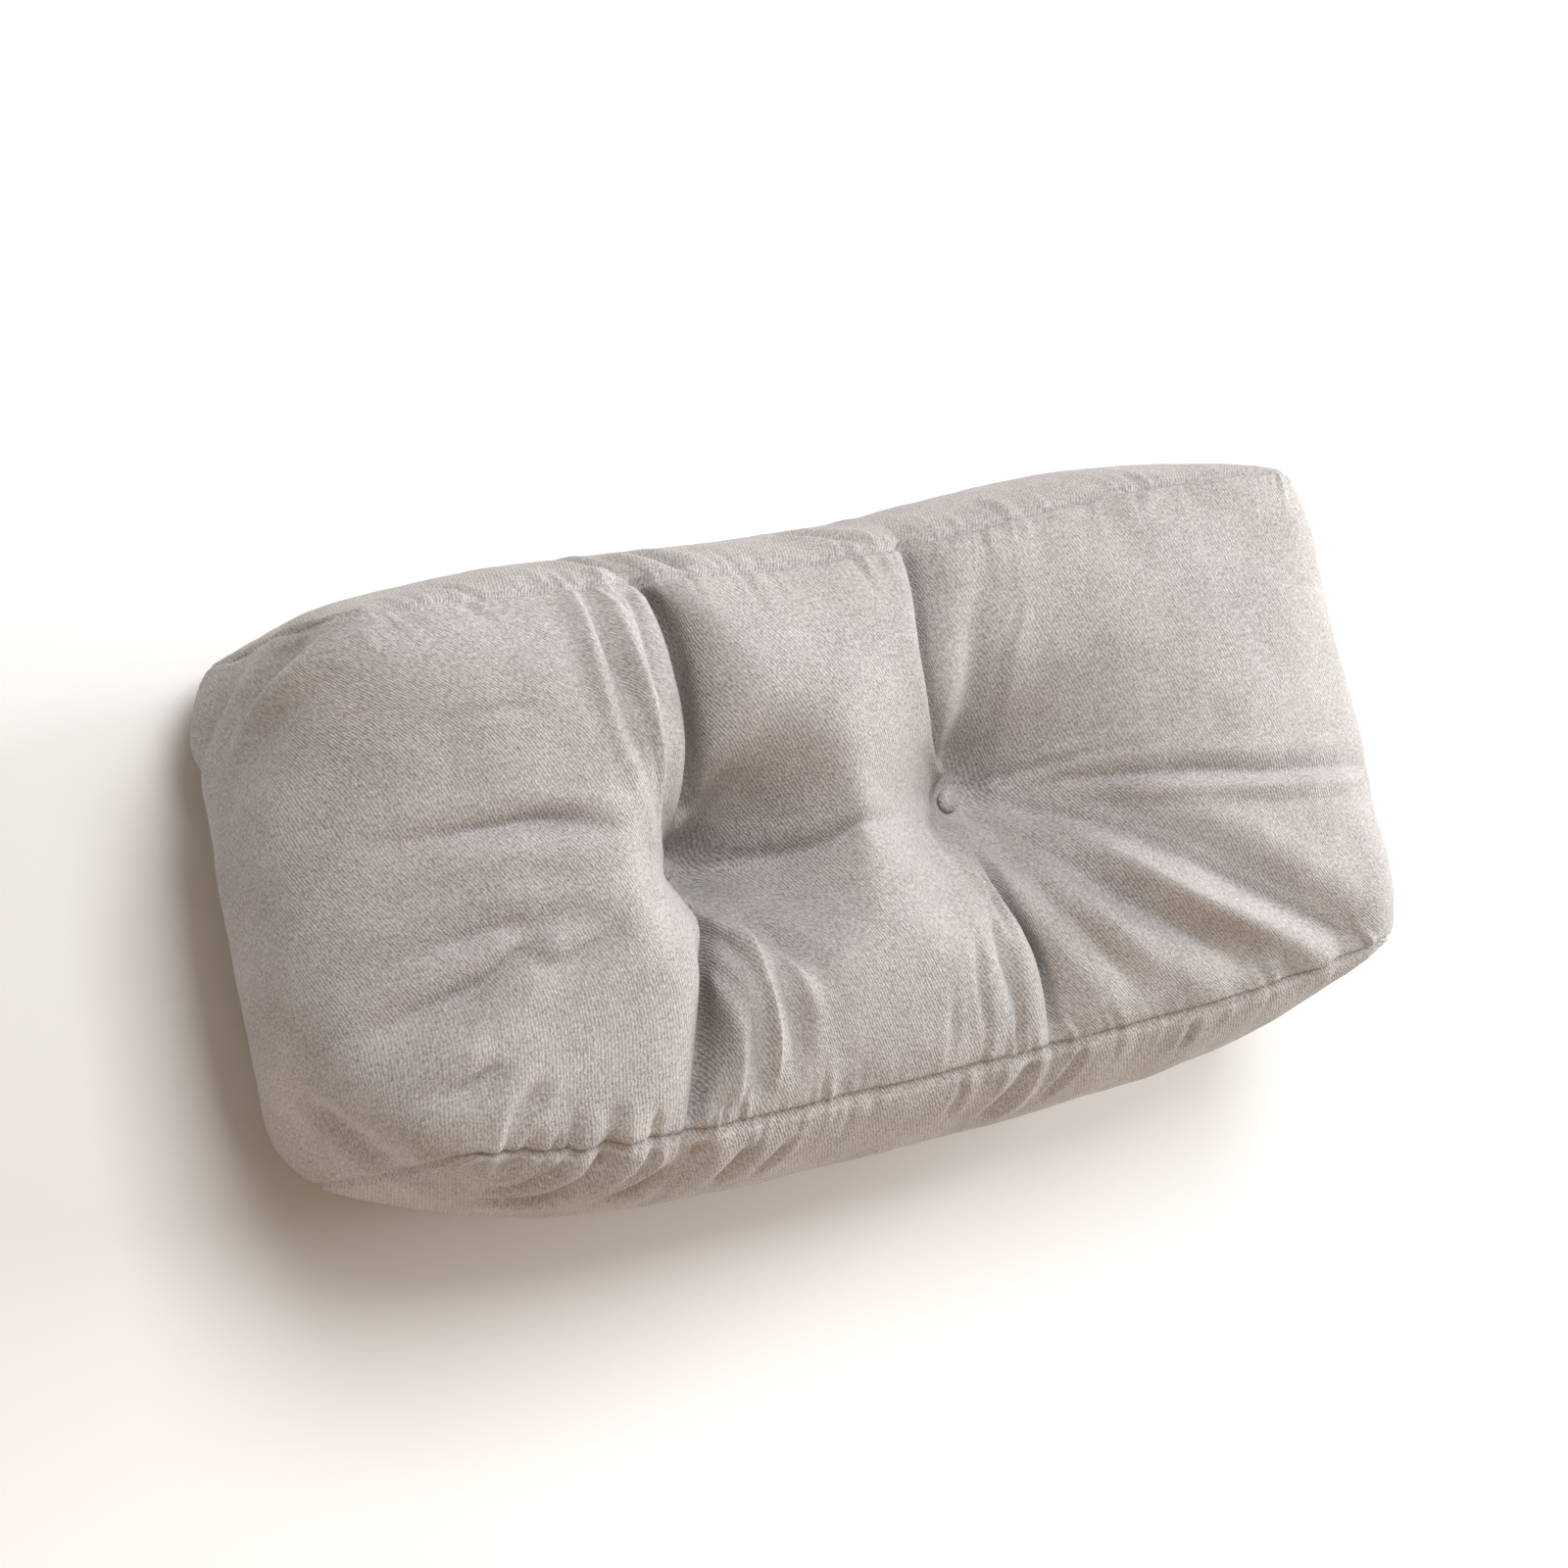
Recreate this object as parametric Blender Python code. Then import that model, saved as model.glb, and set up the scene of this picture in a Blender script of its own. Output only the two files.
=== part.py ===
"""Lumbar support pillow: a filled box pillow, tufted at two points by fabric covered buttons.

The pillow lies on its back. X runs along its length, Y along its height and Z out of its face.
The shape is worked out on the surface of a cube, s along the length, t along the height and w
through the thickness, each from -1 to 1. The front (w = 1) and the two ends (s = -1 and 1) are
one wrapped panel. Long gussets (t = -1 and 1) are sewn in along the top and the bottom.
All sizes are in metres.
"""
from collections import namedtuple
from math import cos, pi, sin

import bmesh
import bpy
import numpy as np

# Driving sizes of the filled form
SEAM_LENGTH = 0.560
SEAM_HEIGHT = 0.260
GUSSET_WIDTH = 0.165
BACK_CORNER_Z = 0.018
LEFT_END_BULGE = 0.040
RIGHT_END_BULGE = 0.013
FRONT_CROWN = 0.0285
BACK_CROWN = 0.026
TOP_GUSSET_BULGE = 0.0265
BOTTOM_GUSSET_BULGE = 0.035
SEAM_SAG = 0.011
FLOOR_SOFTNESS = 0.006
MIDDLE_Z = BACK_CORNER_Z + GUSSET_WIDTH / 2

# How square the lengthwise section is: sharp at the sewn corners, round at half height
CORNER_SQUARENESS = 11.0
LEFT_SQUARENESS = 2.7
RIGHT_SQUARENESS = 4.6

# Mesh steps along the length, the height and the thickness, and the share of faces kept
LENGTH_STEPS = 200
HEIGHT_STEPS = 100
THICKNESS_STEPS = 56
KEPT_SHARE = 0.058

# How far the long seams stand out of their straight line, along the length
SeamBow = namedtuple("SeamBow", "s top bottom")
SEAM_BOWS = (
    SeamBow(-1.0, 0.0020, 0.0000),
    SeamBow(-0.6, -0.0020, 0.0120),
    SeamBow(0.0, -0.0080, 0.0140),
    SeamBow(0.6, 0.0035, 0.0100),
    SeamBow(1.0, 0.0020, -0.0010),
)

# Main creases, from the top seam past a tuft to the bottom seam. A row gives the height v on the
# cloth, the crease's place u, its depth, how far it draws the cloth down to its left and right,
# and how far the cloth on its left leans over it.
Crease = namedtuple("Crease", "v u depth left right lip")
LEFT_CREASE = (
    Crease(0.132, -0.127, 0.010, 0.030, 0.022, 0.000),
    Crease(0.100, -0.117, 0.032, 0.045, 0.030, 0.003),
    Crease(0.060, -0.117, 0.048, 0.055, 0.038, 0.004),
    Crease(0.020, -0.119, 0.064, 0.060, 0.042, 0.003),
    Crease(-0.013, -0.113, 0.080, 0.060, 0.042, 0.002),
    Crease(-0.032, -0.122, 0.070, 0.058, 0.041, 0.002),
    Crease(-0.055, -0.131, 0.058, 0.055, 0.040, 0.003),
    Crease(-0.095, -0.146, 0.040, 0.048, 0.034, 0.003),
    Crease(-0.146, -0.166, 0.010, 0.030, 0.024, 0.000),
)
RIGHT_CREASE = (
    Crease(0.132, 0.038, 0.010, 0.018, 0.032, 0.000),
    Crease(0.100, 0.031, 0.026, 0.022, 0.075, 0.002),
    Crease(0.060, 0.023, 0.036, 0.024, 0.090, 0.002),
    Crease(0.025, 0.031, 0.048, 0.026, 0.095, 0.002),
    Crease(-0.0075, 0.055, 0.066, 0.030, 0.090, 0.000),
    Crease(-0.035, 0.049, 0.052, 0.028, 0.084, 0.001),
    Crease(-0.065, 0.046, 0.042, 0.026, 0.080, 0.002),
    Crease(-0.100, 0.056, 0.033, 0.025, 0.070, 0.002),
    Crease(-0.146, 0.060, 0.010, 0.020, 0.034, 0.000),
)
CREASE_POWER = 2.0
CREASE_FLOOR_SPREAD = 0.006
LIP_PEAK = 0.3
BLEND = 0.012

# The two points where a button's thread pulls the front down to a small flat seat
Tuft = namedtuple("Tuft", "name u v seat_z reach left_power right_power")
TUFTS = (
    Tuft("left", -0.112, -0.013, 0.110, 0.120, 2.5, 2.2),
    Tuft("right", 0.057, -0.0075, 0.126, 0.190, 2.6, 2.4),
)
SEAT_RADIUS = 0.0075
SEAT_SLOPE_RADIUS = 0.0180

# Folds drawn on the unrolled cloth, where u goes on round the ends and v goes on down the
# gussets. A row gives the depth (a ridge where negative), the spread to the left and right of
# the fold's own direction, and the share of the depth left at its two ends.
Fold = namedtuple("Fold", "depth left right first last points")
FOLDS = (
    # Pleats on the left section's flank, above the left tuft
    Fold(0.0050, 0.007, 0.005, 0.7, 0.5, ((-0.143, 0.122), (-0.145, 0.080), (-0.146, 0.040), (-0.143, 0.004))),
    Fold(0.0040, 0.008, 0.005, 0.5, 0.4, ((-0.159, 0.122), (-0.166, 0.085), (-0.164, 0.048), (-0.154, 0.006))),
    # Pleats in the middle section, below the left tuft
    Fold(0.0050, 0.005, 0.006, 0.5, 0.3, ((-0.129, -0.034), (-0.122, -0.058), (-0.119, -0.078), (-0.125, -0.128))),
    Fold(0.0045, 0.007, 0.005, 0.6, 0.1, ((-0.117, -0.032), (-0.104, -0.055), (-0.107, -0.090), (-0.106, -0.124))),
    Fold(0.0030, 0.007, 0.006, 0.3, 0.0, ((-0.101, -0.046), (-0.093, -0.068), (-0.086, -0.090))),
    # The hollow and the crease between the tufts
    Fold(0.0080, 0.034, 0.034, 0.9, 0.9, ((-0.105, -0.014), (-0.024, -0.014), (0.060, -0.008))),
    Fold(0.0035, 0.005, 0.006, 0.8, 0.0, ((-0.098, -0.014), (-0.071, -0.019), (-0.045, -0.015), (-0.008, -0.012))),
    # Right section, above the right tuft
    Fold(0.0045, 0.011, 0.010, 0.1, 0.8, ((0.080, 0.112), (0.060, 0.075), (0.057, 0.039), (0.056, 0.012))),
    # Pleats left of the crease below the right tuft
    Fold(0.0035, 0.005, 0.006, 0.7, 0.1, ((0.042, -0.020), (0.041, -0.043), (0.036, -0.063), (0.035, -0.086))),
    Fold(0.0035, 0.006, 0.006, 0.6, 0.6, ((0.034, -0.020), (0.029, -0.050), (0.025, -0.086), (0.033, -0.136))),
    # The long crease across the right section
    Fold(0.0045, 0.006, 0.005, 0.1, 0.3, ((0.096, -0.009), (0.130, -0.015), (0.205, -0.027), (0.285, -0.034))),
    # Broad folds running from the right tuft to the lower right corner, and the ridge between them
    Fold(0.0065, 0.012, 0.010, 0.3, 0.7, ((0.090, -0.020), (0.122, -0.040), (0.186, -0.083), (0.251, -0.122))),
    Fold(-0.0030, 0.006, 0.010, 0.3, 0.3, ((0.103, -0.045), (0.143, -0.078), (0.189, -0.102), (0.236, -0.126))),
    Fold(0.0050, 0.009, 0.009, 0.5, 0.4, ((0.080, -0.042), (0.102, -0.070), (0.140, -0.101), (0.180, -0.126))),
    Fold(0.0045, 0.008, 0.009, 0.5, 0.4, ((0.064, -0.036), (0.072, -0.067), (0.086, -0.093), (0.106, -0.121))),
    # Short creases across the left section
    Fold(0.0050, 0.006, 0.008, 0.2, 0.3, ((-0.275, 0.020), (-0.250, 0.020), (-0.220, 0.018), (-0.186, 0.009))),
    Fold(0.0060, 0.006, 0.009, 0.2, 0.5, ((-0.296, -0.066), (-0.270, -0.054), (-0.243, -0.040))),
    Fold(0.0040, 0.007, 0.008, 0.4, 0.1, ((-0.240, -0.045), (-0.226, -0.050), (-0.188, -0.040))),
    Fold(0.0035, 0.007, 0.008, 0.1, 0.1, ((-0.286, -0.036), (-0.258, -0.028), (-0.220, -0.031), (-0.188, -0.033))),
    Fold(0.0040, 0.006, 0.007, 0.1, 0.1, ((-0.296, -0.103), (-0.266, -0.091))),
    # Puckers where the long seams gather the cloth
    Fold(0.0040, 0.006, 0.006, 0.8, 0.0, ((-0.264, -0.140), (-0.259, -0.118), (-0.246, -0.104))),
    Fold(0.0030, 0.006, 0.006, 0.8, 0.0, ((-0.213, -0.146), (-0.211, -0.120))),
    Fold(0.0065, 0.008, 0.008, 0.8, 0.3, ((-0.213, -0.148), (-0.221, -0.164), (-0.236, -0.180), (-0.258, -0.190))),
    Fold(0.0050, 0.007, 0.007, 0.9, 0.1, ((-0.160, -0.152), (-0.170, -0.163), (-0.182, -0.174), (-0.196, -0.190))),
    Fold(0.0035, 0.006, 0.006, 0.9, 0.0, ((-0.129, -0.160), (-0.132, -0.170), (-0.136, -0.184))),
    Fold(0.0045, 0.007, 0.007, 0.9, 0.0, ((0.044, -0.152), (0.040, -0.168), (0.030, -0.188))),
    Fold(0.0050, 0.007, 0.007, 0.9, 0.2, ((-0.130, 0.132), (-0.139, 0.156), (-0.150, 0.178))),
    Fold(0.0040, 0.006, 0.006, 0.9, 0.0, ((-0.098, 0.134), (-0.104, 0.150), (-0.112, 0.168))),
    Fold(0.0035, 0.006, 0.006, 0.9, 0.0, ((0.009, 0.134), (-0.002, 0.152), (-0.016, 0.170))),
    # The ridge from the upper left corner down the left end, and the hollows beside it
    Fold(-0.0055, 0.008, 0.011, 0.1, 0.0, ((-0.284, 0.126), (-0.307, 0.112), (-0.333, 0.101), (-0.366, 0.074))),
    Fold(0.0055, 0.009, 0.007, 0.4, 0.0, ((-0.296, 0.129), (-0.320, 0.122), (-0.350, 0.112), (-0.383, 0.094))),
    Fold(0.0070, 0.010, 0.012, 0.3, 0.0, ((-0.386, 0.128), (-0.403, 0.112), (-0.412, 0.090), (-0.414, 0.060))),
    Fold(0.0050, 0.010, 0.010, 0.2, 0.0, ((-0.330, -0.128), (-0.352, -0.112), (-0.372, -0.084))),
    Fold(0.0050, 0.010, 0.010, 0.2, 0.0, ((0.335, 0.124), (0.356, 0.104), (0.372, 0.074))),
    Fold(0.0050, 0.010, 0.010, 0.2, 0.0, ((0.330, -0.128), (0.352, -0.108), (0.368, -0.078))),
)
SHOULDER_SHARE = 0.35
SHOULDER_PLACE = 1.9
SHOULDER_SPREAD = 0.9

# Fabric covered buttons
BUTTON_RADIUS = 0.0060
BUTTON_EDGE = 0.0012
BUTTON_RISE = 0.0034
BUTTON_GAP = 0.0005
BUTTON_SIDES = 24
BUTTON_RINGS = 5

CLOTH_COLOUR = (0.50, 0.465, 0.44, 1.0)


def smooth_step(value):
    """Soft step from 0 to 1."""
    value = np.clip(value, 0.0, 1.0)
    return value * value * (3.0 - 2.0 * value)


def smooth_max(first, second):
    """The larger of two depths, with a soft change between them."""
    share = np.clip(0.5 + 0.5 * (first - second) / BLEND, 0.0, 1.0)
    return second + (first - second) * share + BLEND * share * (1.0 - share)


def smooth_line(points, steps=10):
    """Samples of a smooth curve through the points."""
    rows = np.array(points, dtype=float)
    rows = np.vstack([2 * rows[0] - rows[1], rows, 2 * rows[-1] - rows[-2]])
    part = np.linspace(0.0, 1.0, steps, endpoint=False)[:, None]
    runs = []
    for a, b, c, d in zip(rows[:-3], rows[1:-2], rows[2:-1], rows[3:]):
        bend = (2 * a - 5 * b + 4 * c - d) * part**2 + (3 * b - a - 3 * c + d) * part**3
        runs.append(0.5 * (2 * b + (c - a) * part + bend))
    runs.append(rows[-2][None])
    return np.vstack(runs)


def read_column(rows, key, name, place):
    """One column of a table, read smoothly at each place."""
    line = smooth_line([(getattr(row, key), getattr(row, name)) for row in rows])
    order = np.argsort(line[:, 0])
    return np.interp(place, line[order, 0], line[order, 1])


def cube_grid():
    """Points on a cube's surface and the four-sided faces between them, facing out."""
    counts = (LENGTH_STEPS, HEIGHT_STEPS, THICKNESS_STEPS)
    levels = [np.linspace(-1.0, 1.0, count + 1) for count in counts]
    found = {}
    points = []
    faces = []

    def corner(*key):
        if key not in found:
            found[key] = len(points)
            points.append([level[step] for level, step in zip(levels, key)])
        return found[key]

    for axis in range(3):
        first, second = (axis + 1) % 3, (axis + 2) % 3
        for side in (0, counts[axis]):
            for i in range(counts[first]):
                for j in range(counts[second]):
                    ring = ((i, j), (i + 1, j), (i + 1, j + 1), (i, j + 1))
                    keys = []
                    for a, b in ring if side else reversed(ring):
                        key = [0, 0, 0]
                        key[axis], key[first], key[second] = side, a, b
                        keys.append(corner(*key))
                    faces.append(keys)
    return np.array(points), faces


def filled_form(s, t, w):
    """The filled form before its creases, and each point's place on the unrolled cloth."""
    nearness = np.abs(t)
    on_gusset = nearness > 0.9999
    on_end = (np.abs(s) > 0.9999) & ~on_gusset
    right = smooth_step((s + 1.0) / 2.0)
    squareness = LEFT_SQUARENESS * (1.0 - right) + RIGHT_SQUARENESS * right
    squareness = squareness + (CORNER_SQUARENESS - squareness) * nearness**4
    fullness = 1.0 - nearness**2.6
    corner = 2.0 ** (1.0 / CORNER_SQUARENESS)
    bulge = np.where(s < 0, LEFT_END_BULGE * (1 - 0.13 * t), RIGHT_END_BULGE * (1 - 0.2 * t))
    crown = np.where(w > 0, FRONT_CROWN, BACK_CROWN)
    half_length = SEAM_LENGTH / 2 * corner + bulge * fullness**0.8
    half_thickness = GUSSET_WIDTH / 2 * corner + crown * fullness**0.75
    squash = (1.0 + np.abs(s * w) ** squareness) ** (1.0 / squareness)
    x = half_length * s / squash
    z = half_thickness * w / squash - SEAM_SAG * nearness * (1 - s**2) * np.clip(w, 0, 1)
    bow = np.where(t > 0, read_column(SEAM_BOWS, "s", "top", s), read_column(SEAM_BOWS, "s", "bottom", s))
    y = SEAM_HEIGHT / 2 * t + bow * t
    lean = np.clip(w + 0.1 * (1 - w**2), -1.0, 1.0)
    cap = np.where(t > 0, TOP_GUSSET_BULGE, BOTTOM_GUSSET_BULGE)
    cap = cap * np.clip(1 - s**4, 0, 1) ** 0.6 * np.clip(1 - lean**2, 0, 1) ** 0.6
    seam_squash = (1.0 + np.abs(s) ** squareness) ** (1.0 / squareness)
    seam_z = half_thickness / seam_squash - SEAM_SAG * nearness * (1 - s**2)
    edge_x = half_length / 2.0 ** (1.0 / squareness)
    u = np.where(on_end, np.sign(s) * (edge_x + seam_z - z), x)
    v = np.where(on_gusset, y + np.sign(t) * (seam_z - z), y)
    y = y + np.where(on_gusset, np.sign(t) * cap, 0.0)
    return np.stack([x, y, z + MIDDLE_Z], axis=1), u, v


def crease_pull(rows, x, y):
    """Depth of one main crease at each point, and how far its lip leans over it."""
    height = np.clip(y, rows[-1].v, rows[0].v)
    depth, left, right, lip = (read_column(rows, "v", key, height) for key in ("depth", "left", "right", "lip"))
    offset = x - read_column(rows, "v", "u", height)
    reach = np.clip(np.abs(offset) / np.where(offset < 0, left, right), 0.0, 1.0)
    lean = np.where(offset < 0, lip * reach / LIP_PEAK * np.exp(1.0 - reach / LIP_PEAK), 0.0)
    return depth * (1.0 - reach) ** CREASE_POWER, lean


def tuft_pull(tuft, x, y, z):
    """Depth of the hollow round one tuft, steeper on one side than on the other."""
    across, up = x - tuft.u, y - tuft.v
    away = np.hypot(across, up)
    right = 0.5 + 0.5 * across / np.maximum(away, 1e-6)
    power = tuft.left_power * (1.0 - right) + tuft.right_power * right
    return (z - tuft.seat_z) * np.clip(1.0 - away / tuft.reach, 0.0, 1.0) ** power


def pull_creases(points, w):
    """Draw the front down along the main creases and to the two seats."""
    x, y, z = points.T
    hold = smooth_step((w - 0.15) / 0.85)
    pulls = []
    lean = np.zeros_like(x)
    for rows, tuft in zip((LEFT_CREASE, RIGHT_CREASE), TUFTS):
        crease, lip = crease_pull(rows, x, y)
        pulls.append(smooth_max(crease, tuft_pull(tuft, x, y, z)))
        lean = lean + lip
    new_z = z - smooth_max(*pulls) * hold
    for tuft in TUFTS:
        away = np.hypot(x - tuft.u, y - tuft.v)
        seat = smooth_step((SEAT_SLOPE_RADIUS - away) / (SEAT_SLOPE_RADIUS - SEAT_RADIUS)) * hold
        new_z = new_z + (tuft.seat_z - new_z) * seat
        lean = lean * (1.0 - seat)
    return np.stack([x + lean * hold, y, new_z], axis=1)


def fold_depth(fold, u, v):
    """Depth of one fold at each place on the cloth: a trough with low raised shoulders."""
    line = smooth_line(fold.points)
    starts, runs = line[:-1], np.diff(line, axis=0)
    lengths = np.linalg.norm(runs, axis=1)
    travelled = np.concatenate([[0.0], np.cumsum(lengths)])
    margin = 4.0 * max(fold.left, fold.right)
    low, high = line.min(axis=0) - margin, line.max(axis=0) + margin
    near = np.flatnonzero((u > low[0]) & (u < high[0]) & (v > low[1]) & (v < high[1]))
    from_start = np.stack([u[near], v[near]], axis=1)[:, None] - starts
    share = np.clip((from_start * runs).sum(axis=2) / lengths**2, 0.0, 1.0)
    away = np.linalg.norm(from_start - share[..., None] * runs, axis=2)
    best = away.argmin(axis=1)
    row = np.arange(len(near))
    turn = runs[best, 0] * from_start[row, best, 1] - runs[best, 1] * from_start[row, best, 0]
    side = turn / np.maximum(lengths[best] * away[row, best], 1e-9)
    spread = fold.right + (fold.left - fold.right) * smooth_step(0.5 + 0.5 * side)
    place = (travelled[best] + share[row, best] * lengths[best]) / travelled[-1]
    ends = fold.first + (fold.last - fold.first) * place
    strength = ends + (1.0 - ends) * np.sin(pi * place) ** 0.8
    reach = away[row, best] / spread
    shoulder = SHOULDER_SHARE * np.exp(-(((reach - SHOULDER_PLACE) / SHOULDER_SPREAD) ** 2))
    depth = np.zeros_like(u)
    depth[near] = fold.depth * strength * (np.exp(-(reach**2)) - shoulder)
    return depth


def point_normals(points, faces):
    """Outward directions at the points."""
    quads = np.array(faces)
    a, b, c, d = (points[quads[:, k]] for k in range(4))
    across = np.cross(c - a, d - b)
    normals = np.zeros_like(points)
    for k in range(4):
        np.add.at(normals, quads[:, k], across)
    return normals / np.linalg.norm(normals, axis=1, keepdims=True)


def press_folds(points, faces, u, v, w):
    """Press the folds into the cloth, along its own outward direction.

    They die out towards the back, in the bottom of a main crease and on a button's seat.
    """
    x, y = points[:, 0], points[:, 1]
    depth = sum(fold_depth(fold, u, v) for fold in FOLDS)
    depth = depth * smooth_step((w + 1.0) / 0.25)
    for rows, tuft in zip((LEFT_CREASE, RIGHT_CREASE), TUFTS):
        offset = x - read_column(rows, "v", "u", np.clip(y, rows[-1].v, rows[0].v))
        depth = depth * (1.0 - np.exp(-((offset / CREASE_FLOOR_SPREAD) ** 2)) * smooth_step(w / 0.2))
        away = np.hypot(x - tuft.u, y - tuft.v)
        depth = depth * smooth_step((away - SEAT_RADIUS) / (SEAT_SLOPE_RADIUS - SEAT_RADIUS))
    return points - point_normals(points, faces) * depth[:, None]


def rest_on_floor(points):
    """Flatten what would lie below the floor, with a soft turn up at its rim."""
    z = points[:, 2]
    turn = (z + FLOOR_SOFTNESS) ** 2 / (4.0 * FLOOR_SOFTNESS)
    flat = np.where(z < -FLOOR_SOFTNESS, 0.0, np.where(z > FLOOR_SOFTNESS, z, turn))
    return np.stack([points[:, 0], points[:, 1], flat], axis=1)


def cloth_material(name):
    """Warm light grey brushed cloth."""
    material = bpy.data.materials.new(name)
    material.use_nodes = True
    shader = material.node_tree.nodes["Principled BSDF"]
    shader.inputs["Base Color"].default_value = CLOTH_COLOUR
    shader.inputs["Roughness"].default_value = 0.95
    shader.inputs["Metallic"].default_value = 0.0
    return material


def add_object(name, mesh):
    """Put a mesh into the scene as a sub-part with its own material."""
    mesh.materials.append(cloth_material(name + "_cloth"))
    mesh.shade_smooth()
    piece = bpy.data.objects.new(name, mesh)
    bpy.context.scene.collection.objects.link(piece)
    return piece


def pillow_form():
    """Points and faces of the whole pillow, lying on the floor."""
    grid, faces = cube_grid()
    s, t, w = grid.T
    points, u, v = filled_form(s, t, w)
    points = pull_creases(points, w)
    return rest_on_floor(press_folds(points, faces, u, v, w)), faces


def make_pillow(points, faces):
    """The filled pillow: one closed solid with its creases, folds and flat back."""
    mesh = bpy.data.meshes.new("pillow")
    mesh.from_pydata(points.tolist(), [], faces)
    mesh.update()
    pillow = add_object("pillow", mesh)
    thin_out = pillow.modifiers.new("Thin out", "DECIMATE")
    thin_out.decimate_type = "COLLAPSE"
    thin_out.ratio = KEPT_SHARE
    thin_out.use_collapse_triangulate = True
    return pillow


def make_button(tuft, shift):
    """A domed button with a flat underside, on the seat of its tuft."""
    form = bmesh.new()
    x, y = tuft.u + shift[0], tuft.v + shift[1]
    base_z = tuft.seat_z + BUTTON_GAP
    rings = [(BUTTON_RADIUS, base_z)]
    for step in range(BUTTON_RINGS):
        angle = pi / 2 * step / BUTTON_RINGS
        rings.append((BUTTON_RADIUS * cos(angle), base_z + BUTTON_EDGE + BUTTON_RISE * sin(angle)))
    loops = []
    for radius, height in rings:
        turns = [2 * pi * side / BUTTON_SIDES for side in range(BUTTON_SIDES)]
        loops.append([form.verts.new((x + radius * cos(a), y + radius * sin(a), height)) for a in turns])
    for lower, upper in zip(loops[:-1], loops[1:]):
        for side in range(BUTTON_SIDES):
            after = (side + 1) % BUTTON_SIDES
            form.faces.new((lower[side], lower[after], upper[after], upper[side]))
    top = form.verts.new((x, y, base_z + BUTTON_EDGE + BUTTON_RISE))
    for side in range(BUTTON_SIDES):
        form.faces.new((loops[-1][side], loops[-1][(side + 1) % BUTTON_SIDES], top))
    form.faces.new(list(reversed(loops[0])))
    mesh = bpy.data.meshes.new("button_" + tuft.name)
    form.to_mesh(mesh)
    form.free()
    return add_object("button_" + tuft.name, mesh)


def main():
    for old in list(bpy.data.objects):
        bpy.data.objects.remove(old)
    points, faces = pillow_form()
    shift = -(points.min(axis=0) + points.max(axis=0)) / 2
    shift[2] = 0.0
    make_pillow(points + shift, faces)
    for tuft in TUFTS:
        make_button(tuft, shift)


main()
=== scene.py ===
"""Looks of the lumbar support pillow: its brushed twill cover, seam stitches, covered buttons and stage.

The pillow lies on its back. X runs along its length, Y along its height and Z out of its face.
The cover is worked out on the surface of a cube, s along the length, t along the height and w
through the thickness, each from -1 to 1. The front (w = 1) and the two ends (s = -1 and 1) are
one wrapped panel. Long gussets (t = -1 and 1) are sewn in along the top and the bottom.
All sizes are in metres.
"""
from collections import namedtuple
from math import cos, pi, sin

import bmesh
import bpy
import numpy as np
from bpy.props import FloatProperty, FloatVectorProperty, IntProperty, PointerProperty
from bpy.types import Operator, Panel, PropertyGroup
from mathutils import Matrix, Vector, noise


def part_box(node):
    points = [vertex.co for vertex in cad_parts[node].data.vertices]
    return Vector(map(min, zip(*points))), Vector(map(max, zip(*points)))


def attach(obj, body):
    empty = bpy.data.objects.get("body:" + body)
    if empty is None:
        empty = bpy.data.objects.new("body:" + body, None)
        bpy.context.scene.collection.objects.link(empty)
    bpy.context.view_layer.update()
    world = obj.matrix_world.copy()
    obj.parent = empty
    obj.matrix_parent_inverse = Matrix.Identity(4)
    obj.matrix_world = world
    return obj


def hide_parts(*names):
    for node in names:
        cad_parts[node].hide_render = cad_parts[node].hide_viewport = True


bl_info = {
    "name": "Lumbar support pillow looks",
    "version": (1, 0, 0),
    "blender": (4, 5, 0),
    "location": "View3D > Sidebar > Lumbar pillow",
    "description": "Dresses the packed lumbar support pillow in its sewn and tufted cover",
    "category": "Object",
}

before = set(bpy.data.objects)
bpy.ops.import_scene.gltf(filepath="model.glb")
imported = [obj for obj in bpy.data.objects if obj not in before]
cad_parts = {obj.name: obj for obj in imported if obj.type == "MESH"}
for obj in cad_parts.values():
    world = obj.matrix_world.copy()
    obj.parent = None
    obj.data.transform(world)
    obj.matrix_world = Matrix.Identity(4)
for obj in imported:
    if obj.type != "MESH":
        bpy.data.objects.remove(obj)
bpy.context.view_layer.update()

# Driving sizes of the filled form
SEAM_LENGTH = 0.560
SEAM_HEIGHT = 0.260
GUSSET_WIDTH = 0.165
BACK_CORNER_Z = 0.018
LEFT_END_BULGE = 0.040
RIGHT_END_BULGE = 0.013
FRONT_CROWN = 0.0285
BACK_CROWN = 0.026
TOP_GUSSET_BULGE = 0.0265
BOTTOM_GUSSET_BULGE = 0.035
SEAM_SAG = 0.011
FLOOR_SOFTNESS = 0.006
MIDDLE_Z = BACK_CORNER_Z + GUSSET_WIDTH / 2

# How square the lengthwise section is: sharp at the sewn corners, round at half height
CORNER_SQUARENESS = 11.0
LEFT_SQUARENESS = 2.7
RIGHT_SQUARENESS = 4.6
EDGE_SQUARENESS_POWER = 4

# How the ends, crowns and gussets grow from their sewn edges to their middle
FULLNESS_POWER = 2.6
END_BULGE_POWER = 0.8
CROWN_POWER = 0.75
LEFT_BULGE_TILT = 0.13
RIGHT_BULGE_TILT = 0.2
GUSSET_LEAN = 0.1
GUSSET_ROUNDNESS = 0.6

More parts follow.
